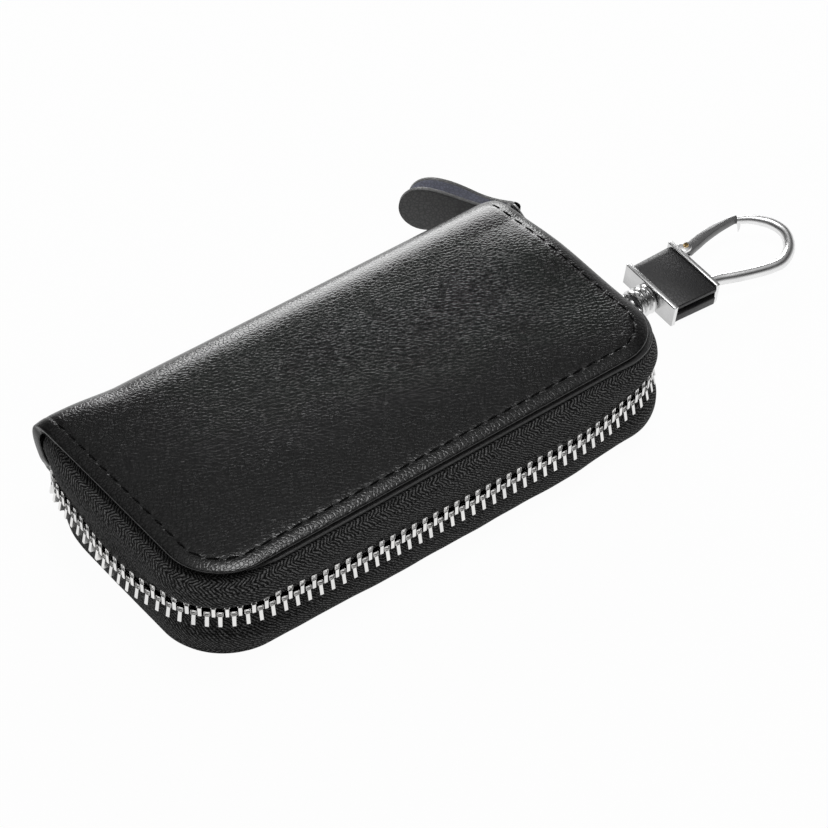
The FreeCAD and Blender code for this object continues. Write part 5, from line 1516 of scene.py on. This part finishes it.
@dataclass
class SnapHook:
    """Swivel snap hook with its strap, ribbed post, sleeved frame, loop and gate.

    Strap lines are in X and Z, the eye's ring in X and Y from the post, the post and its ribs in X and
    radius, the sleeve in Y and Z, the loop in X and Y, and the gate in X and Y from its pin.
    """

    side: float = -1.2
    middle: float = 3.5
    lean: float = 7.0
    lean_lift: float = 0.45
    strap_fold: float = 1.65
    strap_under: tuple = ((50.0, 1.9), (58.0, 1.9), (66.0, 1.86))
    strap_over: tuple = ((66.0, 5.14), (63.4, 4.7), (60.6, 3.3), (58.0, 2.9), (50.0, 2.9))
    strap_width: float = 7.0
    strap_thickness: float = 0.9
    strap_round: float = 0.25
    eye_bar: float = 67.5
    eye_ring: tuple = (
        (67.5, -3.9), (67.5, 0.0), (67.5, 3.9), (67.7, 4.9), (70.5, 4.7), (70.9, 3.3), (71.0, 0.0),
        (70.9, -3.3), (70.5, -4.7), (67.7, -4.9),
    )
    eye_wire: float = 0.9
    post_root: tuple = ((70.0, 0.0), (70.2, 1.2), (70.9, 1.8), (71.25, 1.9))
    post_tip: tuple = ((76.0, 1.4), (77.6, 1.4), (77.6, 2.0), (78.3, 2.0), (78.3, 0.0))
    rib: tuple = ((0.0, 2.5), (0.12, 3.1), (0.4, 3.38), (0.8, 3.38), (1.08, 3.1), (1.2, 2.5))
    groove: tuple = ((1.32, 2.0), (1.58, 2.0))
    ribs: int = 3
    rib_from: float = 71.4
    rib_pitch: float = 1.7
    plates: tuple = ((76.2, 77.4), (88.2, 89.4))
    plate_low: tuple = (-9.05, 0.75)
    plate_high: tuple = (6.65, 6.3)
    plate_round: float = 0.28
    plate_shade_facing: float = -0.7
    pin: tuple = (91.3, 4.1)
    pin_heights: tuple = (1.0, 1.2, 3.5, 5.9, 6.1)
    pin_radii: tuple = (0.5, 0.7, 0.7, 0.7, 0.5)
    lugs: tuple = ((1.3, 2.1), (4.9, 5.7))
    lug_radius: float = 1.3
    lug_root: float = 0.2
    lug_round: float = 0.15
    sleeve_gap: float = 0.05
    sleeve_round: float = 0.14
    sleeve_steep: float = 40.0
    sleeve_flare: float = 0.7
    sleeve_front: float = -6.0
    sleeve_outline: tuple = (
        (-8.5, 5.85), (4.6, 5.9), (5.5, 5.75), (6.1, 5.2), (6.25, 4.3), (6.2, 2.4), (5.9, 1.5), (5.0, 1.15),
        (-8.4, 1.1), (-8.75, 1.25), (-8.75, 3.2), (-8.45, 3.4), (4.2, 3.4), (4.7, 3.7), (4.8, 4.1),
        (4.7, 4.5), (4.2, 4.75), (-8.4, 4.75), (-8.6, 4.9), (-8.6, 5.7),
    )
    loop_route: tuple = (
        (88.8, -5.5), (92.1, -6.0), (95.9, -7.4), (100.7, -8.9), (104.8, -9.8), (107.9, -9.7), (111.2, -8.0),
        (113.2, -5.6), (114.1, -3.3), (113.9, -1.2), (113.0, 0.9), (110.5, 3.6), (107.6, 5.2),
    )
    loop_shares: tuple = (0.0, 0.1, 0.62, 0.8, 1.0)
    loop_radii: tuple = (1.35, 1.32, 1.3, 1.2, 0.85)
    nose_lip: tuple = ((107.9, 4.9, 3.4), (108.2, 4.5, 2.4), (108.3, 4.4, 1.4), (108.2, 4.4, 0.3))
    nose_radii: tuple = (0.5, 0.42, 0.3, 0.08)
    gate_route: tuple = (
        (-0.5, 0.0), (1.3, 0.15), (3.4, 0.55), (7.1, 1.2), (11.2, 1.55), (15.4, 1.45), (16.6, 1.25),
    )
    gate_shares: tuple = (0.0, 0.1, 0.3, 0.65, 1.0)
    gate_widths: tuple = (2.0, 2.4, 2.3, 1.8, 0.9)
    gate_below: float = 1.0
    gate_above: float = 0.9
    gate_round: float = 0.2
    gate_steep: float = 60.0
    gate_shade_below: float = 0.4
    strap_steps: tuple = (24, 15, 8)
    lug_steps: int = 13
    loop_steps: int = 44
    gate_steps: int = 30

    def leant(self, item: Piece) -> Piece:
        """Roll a piece of the hook on its post so that it rests on its front edge."""
        centre = Matrix.Translation((0, self.side, self.middle))
        roll = centre @ Matrix.Rotation(math.radians(self.lean), 4, "X") @ centre.inverted()
        item.data.transform(Matrix.Translation((0, 0, self.lean_lift)) @ roll)
        return item

    def strap(self) -> Piece:
        """Leather strap folded round the eye."""
        along, bends, across = self.strap_steps
        sweep = np.linspace(-math.pi / 2, math.pi / 2, bends)
        radius = self.strap_fold
        fold = np.column_stack((self.eye_bar + radius * np.cos(sweep), self.middle + radius * np.sin(sweep)))
        line = np.vstack((flowing(self.strap_under, along), fold, flowing(self.strap_over, along)))

        def shape(u: Array, v: Array) -> Array:
            x, z = line[nearest(u, len(line))].T
            return np.column_stack((x, self.side - self.strap_width / 2 + self.strap_width * v, z))

        strap = Bench.surface("hook_leather_strap", len(line) - 1, across, shape)
        Bench.thicken(strap, self.strap_thickness, 0.0)
        Bench.soften(strap, self.strap_round, steep=SHEET_EDGE)
        return Bench.settle(strap, HOOK_LEATHER, Slot.LEATHER)

    def swivel(self) -> Piece:
        """Wire eye and ribbed post."""
        route = [(x, self.side + y, self.middle) for x, y in self.eye_ring]
        eye = Bench.wire("eye_ring", route, [self.eye_wire] * len(route), closed=True)
        starts = [self.rib_from + self.rib_pitch * number for number in range(self.ribs)]
        ribbed = [(start + step, radius) for start in starts for step, radius in self.rib + self.groove]
        profile = [*self.post_root, *ribbed[:-len(self.groove)], *self.post_tip]
        post = Bench.turned("ribbed_post", profile, (self.side, self.middle))
        return Bench.settle(Bench.join("swivel_eye_and_post", (post, eye)), CHROME, Slot.CHROME, METAL_SMOOTH)

    def frame_plates(self) -> Piece:
        """End plates of the frame with the lugs that carry the gate pin, their faces towards the case painted
        darker as shade.
        """
        parts = []
        for number, (low, high) in enumerate(self.plates):
            plate = Bench.block(f"plate_{number}", (low, *self.plate_low), (high, *self.plate_high))
            parts.append(Bench.soften(plate, self.plate_round, segments=3))
        x, y = self.pin
        radius, root = self.lug_radius, self.plates[1][1] - self.lug_root
        angles = [math.radians(step) for step in np.linspace(-90, 90, self.lug_steps)]
        nose = [(x + radius * math.cos(angle), y + radius * math.sin(angle)) for angle in angles]
        outline = [(root, y - radius), *nose, (root, y + radius)]
        for number, (low, high) in enumerate(self.lugs):
            lug = Bench.prism(f"lug_{number}", outline, low, high, "xyz")
            parts.append(Bench.soften(lug, self.lug_round))
        plates = self.leant(Bench.join("hook_end_plates", parts))
        # Faces that look back towards the case take the darker nickel: painted shade.
        Bench.two_tone(plates, (LOOP_METAL, SHADED_PLATE_METAL), lambda normal: normal.x < self.plate_shade_facing)
        return Bench.settle(plates, LOOP_METAL, Slot.CHROME, METAL_SMOOTH)

    def gate_pin(self) -> Piece:
        """Gilt pin through the lugs, its ends rounded."""
        route = [(*self.pin, z) for z in self.pin_heights]
        pin = self.leant(Bench.wire("gilt_gate_pin", route, self.pin_radii))
        return Bench.settle(pin, GILT_PIN, Slot.PIN)

    def sleeve(self) -> Piece:
        """Leather wrapped round the frame, open in front and folded at the back."""
        low, high = self.plates[0][1] + self.sleeve_gap, self.plates[1][0] - self.sleeve_gap
        sleeve = Bench.prism("hook_leather_sleeve", self.sleeve_outline, low, high, "yzx")
        for vertex in sleeve.data.vertices:
            if vertex.co.y < self.sleeve_front and vertex.co.x > (low + high) / 2:
                vertex.co.y -= self.sleeve_flare
        Bench.soften(sleeve, self.sleeve_round, steep=self.sleeve_steep)
        return Bench.settle(self.leant(sleeve), HOOK_LEATHER, Slot.LEATHER)

    def loop(self) -> Piece:
        """Wire loop from the far plate round to its nose, with the lip that keeps the gate."""
        line = flowing(self.loop_route, self.loop_steps)
        radii = np.interp(np.linspace(0, 1, self.loop_steps), self.loop_shares, self.loop_radii)
        wire = Bench.wire("loop_wire", [(x, y, self.middle) for x, y in line], radii)
        lip = Bench.wire("nose_lip", self.nose_lip, self.nose_radii)
        loop = self.leant(Bench.join("hook_wire_loop", (wire, lip)))
        return Bench.settle(loop, LOOP_METAL, Slot.CHROME, METAL_SMOOTH)

    def gate(self) -> Piece:
        """Sprung gate from its pin to the nose of the loop: a leaf with a grey top, its sides and underside
        painted dark as shade.
        """
        x, y = self.pin
        line = flowing([(x + ahead, y + aside) for ahead, aside in self.gate_route], self.gate_steps)
        wide = np.interp(np.linspace(0, 1, self.gate_steps), self.gate_shares, self.gate_widths) / 2
        ahead = np.gradient(line, axis=0)
        over = np.column_stack((-ahead[:, 1], ahead[:, 0])) / np.linalg.norm(ahead, axis=1)[:, None]
        outline = np.vstack((line - over * wide[:, None], (line + over * wide[:, None])[::-1])).tolist()
        low, high = self.middle - self.gate_below, self.middle + self.gate_above
        gate = Bench.prism("hook_spring_gate", outline, low, high, "xyz")
        Bench.soften(gate, self.gate_round, steep=self.gate_steep)
        # Faces that do not look up take the black nickel: painted shade on the gate's sides and underside.
        Bench.two_tone(gate, (GATE_METAL, LINK_METAL_AND_GATE_SHADE), lambda normal: normal.z < self.gate_shade_below)
        return Bench.settle(self.leant(gate), GATE_METAL, Slot.CHROME, METAL_SMOOTH)

    def build(self) -> list[Piece]:
        """Make the hook's pieces and put them on their bodies."""
        pieces = []
        for piece, body, node in (
            (self.strap(), "lower_case", "hook_strap"),
            (self.swivel(), "swivel", "swivel_eye"),
            (self.frame_plates(), "snap_hook", "hook_frame"),
            (self.sleeve(), "snap_hook", "hook_sleeve"),
            (self.loop(), "snap_hook", "hook_loop"),
            (self.gate_pin(), "snap_hook", "gate_pin"),
            (self.gate(), "gate", "hook_gate"),
        ):
            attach(piece, body)
            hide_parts(node)
            pieces.append(piece)
        return pieces


@dataclass
class Inside:
    """Spine lining and card pocket, and the finishes of the metal solids that stay as they are."""

    steel_nodes: tuple = ("key_rail", "rail_rod", "rail_rivets") + tuple(f"key_hook_{n}" for n in range(1, 7))
    chrome_nodes: tuple = ("gate_spring",)
    spine_half: float = 52.0
    spine_low: float = 4.3
    spine_height: float = 13.9
    spine_y: float = 28.0
    spine_thickness: float = 0.5
    spine_steps: tuple = (40, 12)
    pinch: float = 5.0
    pinch_span: tuple = (36.0, 55.0)
    pinch_height: float = 9.0
    pinch_width: float = 7.0
    pocket_inset: tuple = (1.0, 0.5)
    pocket_level: float = 18.45
    pocket_sag: float = 0.15
    pocket_thickness: float = 0.6
    pocket_round: float = 0.15
    pocket_steps: tuple = (40, 20)

    def spine_cloth(self) -> Piece:
        """Cloth on the inside of the spine."""
        def shape(u: Array, v: Array) -> Array:
            x, height = (2 * u - 1) * self.spine_half, self.spine_low + self.spine_height * v
            end = ease(np.abs(x), *self.pinch_span)
            pinch = self.pinch * end * hump(height, self.pinch_height, self.pinch_width)
            return np.column_stack((x, self.spine_y - pinch, height))

        cloth = Bench.surface("spine_lining_cloth", *self.spine_steps, shape)
        Bench.thicken(cloth, self.spine_thickness, 0.0)
        Bench.settle(cloth, SPINE_CLOTH, Slot.LINING)
        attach(cloth, "spine")
        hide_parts("spine_lining")
        return cloth

    def pocket(self) -> Piece:
        """Card pocket on the upper lining."""
        low, high = (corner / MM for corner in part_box("card_pocket"))
        inset_x, inset_y = self.pocket_inset

        def shape(u: Array, v: Array) -> Array:
            x = low[0] + inset_x + (high[0] - low[0] - 2 * inset_x) * u
            y = low[1] + inset_y + (high[1] - low[1] - 2 * inset_y) * v
            return np.column_stack((x, y, self.pocket_level - self.pocket_sag * np.sin(math.pi * u) * v))

        pocket = Bench.surface("card_pocket_leather", *self.pocket_steps, shape)
        Bench.thicken(pocket, self.pocket_thickness, 0.0)
        Bench.soften(pocket, self.pocket_round, steep=SHEET_EDGE)
        Bench.settle(pocket, HOOK_LEATHER, Slot.INNER)
        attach(pocket, "upper_cover")
        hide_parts("card_pocket")
        return pocket

    def build(self) -> list[Piece]:
        """Dress the metal and make the cloth and the pocket inside."""
        for names, finish in ((self.steel_nodes, KEY_STEEL), (self.chrome_nodes, CHROME)):
            for name in names:
                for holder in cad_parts[name].material_slots:
                    holder.material = finish.material()
        return [self.spine_cloth(), self.pocket()]


@dataclass
class Studio:
    """Pale floor, soft light and the camera of the photograph, in metres and degrees."""

    azimuth: float = -37.84
    elevation: float = 44.36
    distance: float = 0.56225
    target: tuple = (0.01237, -0.00145, 0.00666)
    focal_pixels: float = 2801.2
    picture_pixels: float = 828.0
    sensor: float = 36.0
    clip_start: float = 0.01
    floor_size: float = 12.0
    floor_level: float = 0.85
    floor_glow: float = 0.97
    sky_levels: tuple = (
        (0.0, 0.5), (0.2, 0.45), (0.38, 0.14), (0.5, 0.03), (0.6, 0.03), (0.72, 0.065), (0.8, 0.2),
        (0.88, 0.5), (1.0, 0.75),
    )
    lamps: tuple = (("top_lamp", (0.18, 0.06, 1.0), 0.32, 2.6), ("back_lamp", (0.48, 0.64, 0.24), 0.42, 3.3))

    def camera(self) -> None:
        """Stand the camera at the photograph's angle."""
        turn, rise = math.radians(self.azimuth), math.radians(self.elevation)
        back = Vector((math.sin(turn) * math.cos(rise), -math.cos(turn) * math.cos(rise), math.sin(rise)))
        right = Vector((math.cos(turn), math.sin(turn), 0.0))
        level = Matrix((right, back.cross(right), back)).transposed().to_quaternion()
        place = back * self.distance
        swing = (-back).rotation_difference((Vector(self.target) - place).normalized())
        bpy.ops.object.camera_add(location=place)
        camera = bpy.context.object
        camera.name = "main_camera"
        camera.rotation_euler = (swing @ level).to_euler()
        camera.data.lens = self.focal_pixels / self.picture_pixels * self.sensor
        camera.data.sensor_width = self.sensor
        camera.data.clip_start = self.clip_start
        bpy.context.scene.camera = camera

    def lamp(self, name: str, place: Sequence[float], size: float, power: float) -> None:
        """Hang one soft lamp that faces the case.

        Args:
            name: Name of the lamp.
            place: Where it hangs.
            size: Side of its square face.
            power: Power in watts.
        """
        bpy.ops.object.light_add(type="AREA", location=place)
        lamp = bpy.context.object
        lamp.name = name
        lamp.data.size = size
        lamp.data.energy = power
        lamp.rotation_euler = (-Vector(place)).to_track_quat("-Z", "Y").to_euler()

    def floor(self) -> None:
        """Lay the white floor, which keeps the shadow of the case."""
        Bench.clear()
        bpy.ops.mesh.primitive_plane_add(size=self.floor_size)
        floor = Bench.named("floor")
        made = bpy.data.materials.new("white_floor")
        nodes = Nodes.of(made)
        paper = nodes.add("ShaderNodeBsdfDiffuse", {"Color": grey(self.floor_level)})
        glow = nodes.add("ShaderNodeEmission", {"Color": grey(1.0), "Strength": 1.0})
        path = nodes.add("ShaderNodeLightPath")
        seen = nodes.math("MAXIMUM", path.outputs["Is Camera Ray"], path.outputs["Is Glossy Ray"])
        share = nodes.math("MULTIPLY", seen, self.floor_glow)
        mixed = nodes.add("ShaderNodeMixShader", {0: share, 1: paper.outputs[0], 2: glow.outputs[0]})
        nodes.add("ShaderNodeOutputMaterial", {"Surface": mixed.outputs[0]})
        floor.data.materials.append(made)

    def sky(self) -> None:
        """Light the room from the horizon and from overhead, with a dark belt between."""
        world = bpy.data.worlds.new("studio_room")
        bpy.context.scene.world = world
        nodes = Nodes.of(world)
        up = nodes.add("ShaderNodeSeparateXYZ", {0: Finish.place(nodes, "Generated")}).outputs[2]
        level = nodes.add("ShaderNodeValToRGB", {0: up})
        stops = level.color_ramp.elements
        for (position, tone), stop in zip((self.sky_levels[0], self.sky_levels[-1]), stops):
            stop.position, stop.color = position, grey(tone)
        for position, tone in self.sky_levels[1:-1]:
            stops.new(position).color = grey(tone)
        room = nodes.add("ShaderNodeBackground", {"Color": level.outputs[0], "Strength": 1.0})
        nodes.add("ShaderNodeOutputWorld", {"Surface": room.outputs[0]})

    def build(self) -> None:
        """Set up floor, room, lamps and camera."""
        self.floor()
        self.sky()
        for lamp in self.lamps:
            self.lamp(*lamp)
        self.camera()
        bpy.context.scene.view_settings.view_transform = "Standard"


def main() -> None:
    """Build every sub-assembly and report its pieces."""
    logging.basicConfig(level=logging.INFO, format="%(message)s")
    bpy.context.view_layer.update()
    lower_plan = CasePlan(corner=14.5)
    makers = [
        Cover(Side.UPPER), Cover(Side.LOWER, lower_plan, thread_rise=-0.12),
        ZipSide(Side.UPPER), ZipSide(Side.LOWER), ZipSlider(), PullTab(), SnapHook(), Inside(),
    ]
    for maker in makers:
        for piece in maker.build():
            LOG.info("%s: %d faces", piece.name, len(piece.data.polygons))
    Studio().build()
    Bench.clear()


if __name__ == "__main__":
    main()
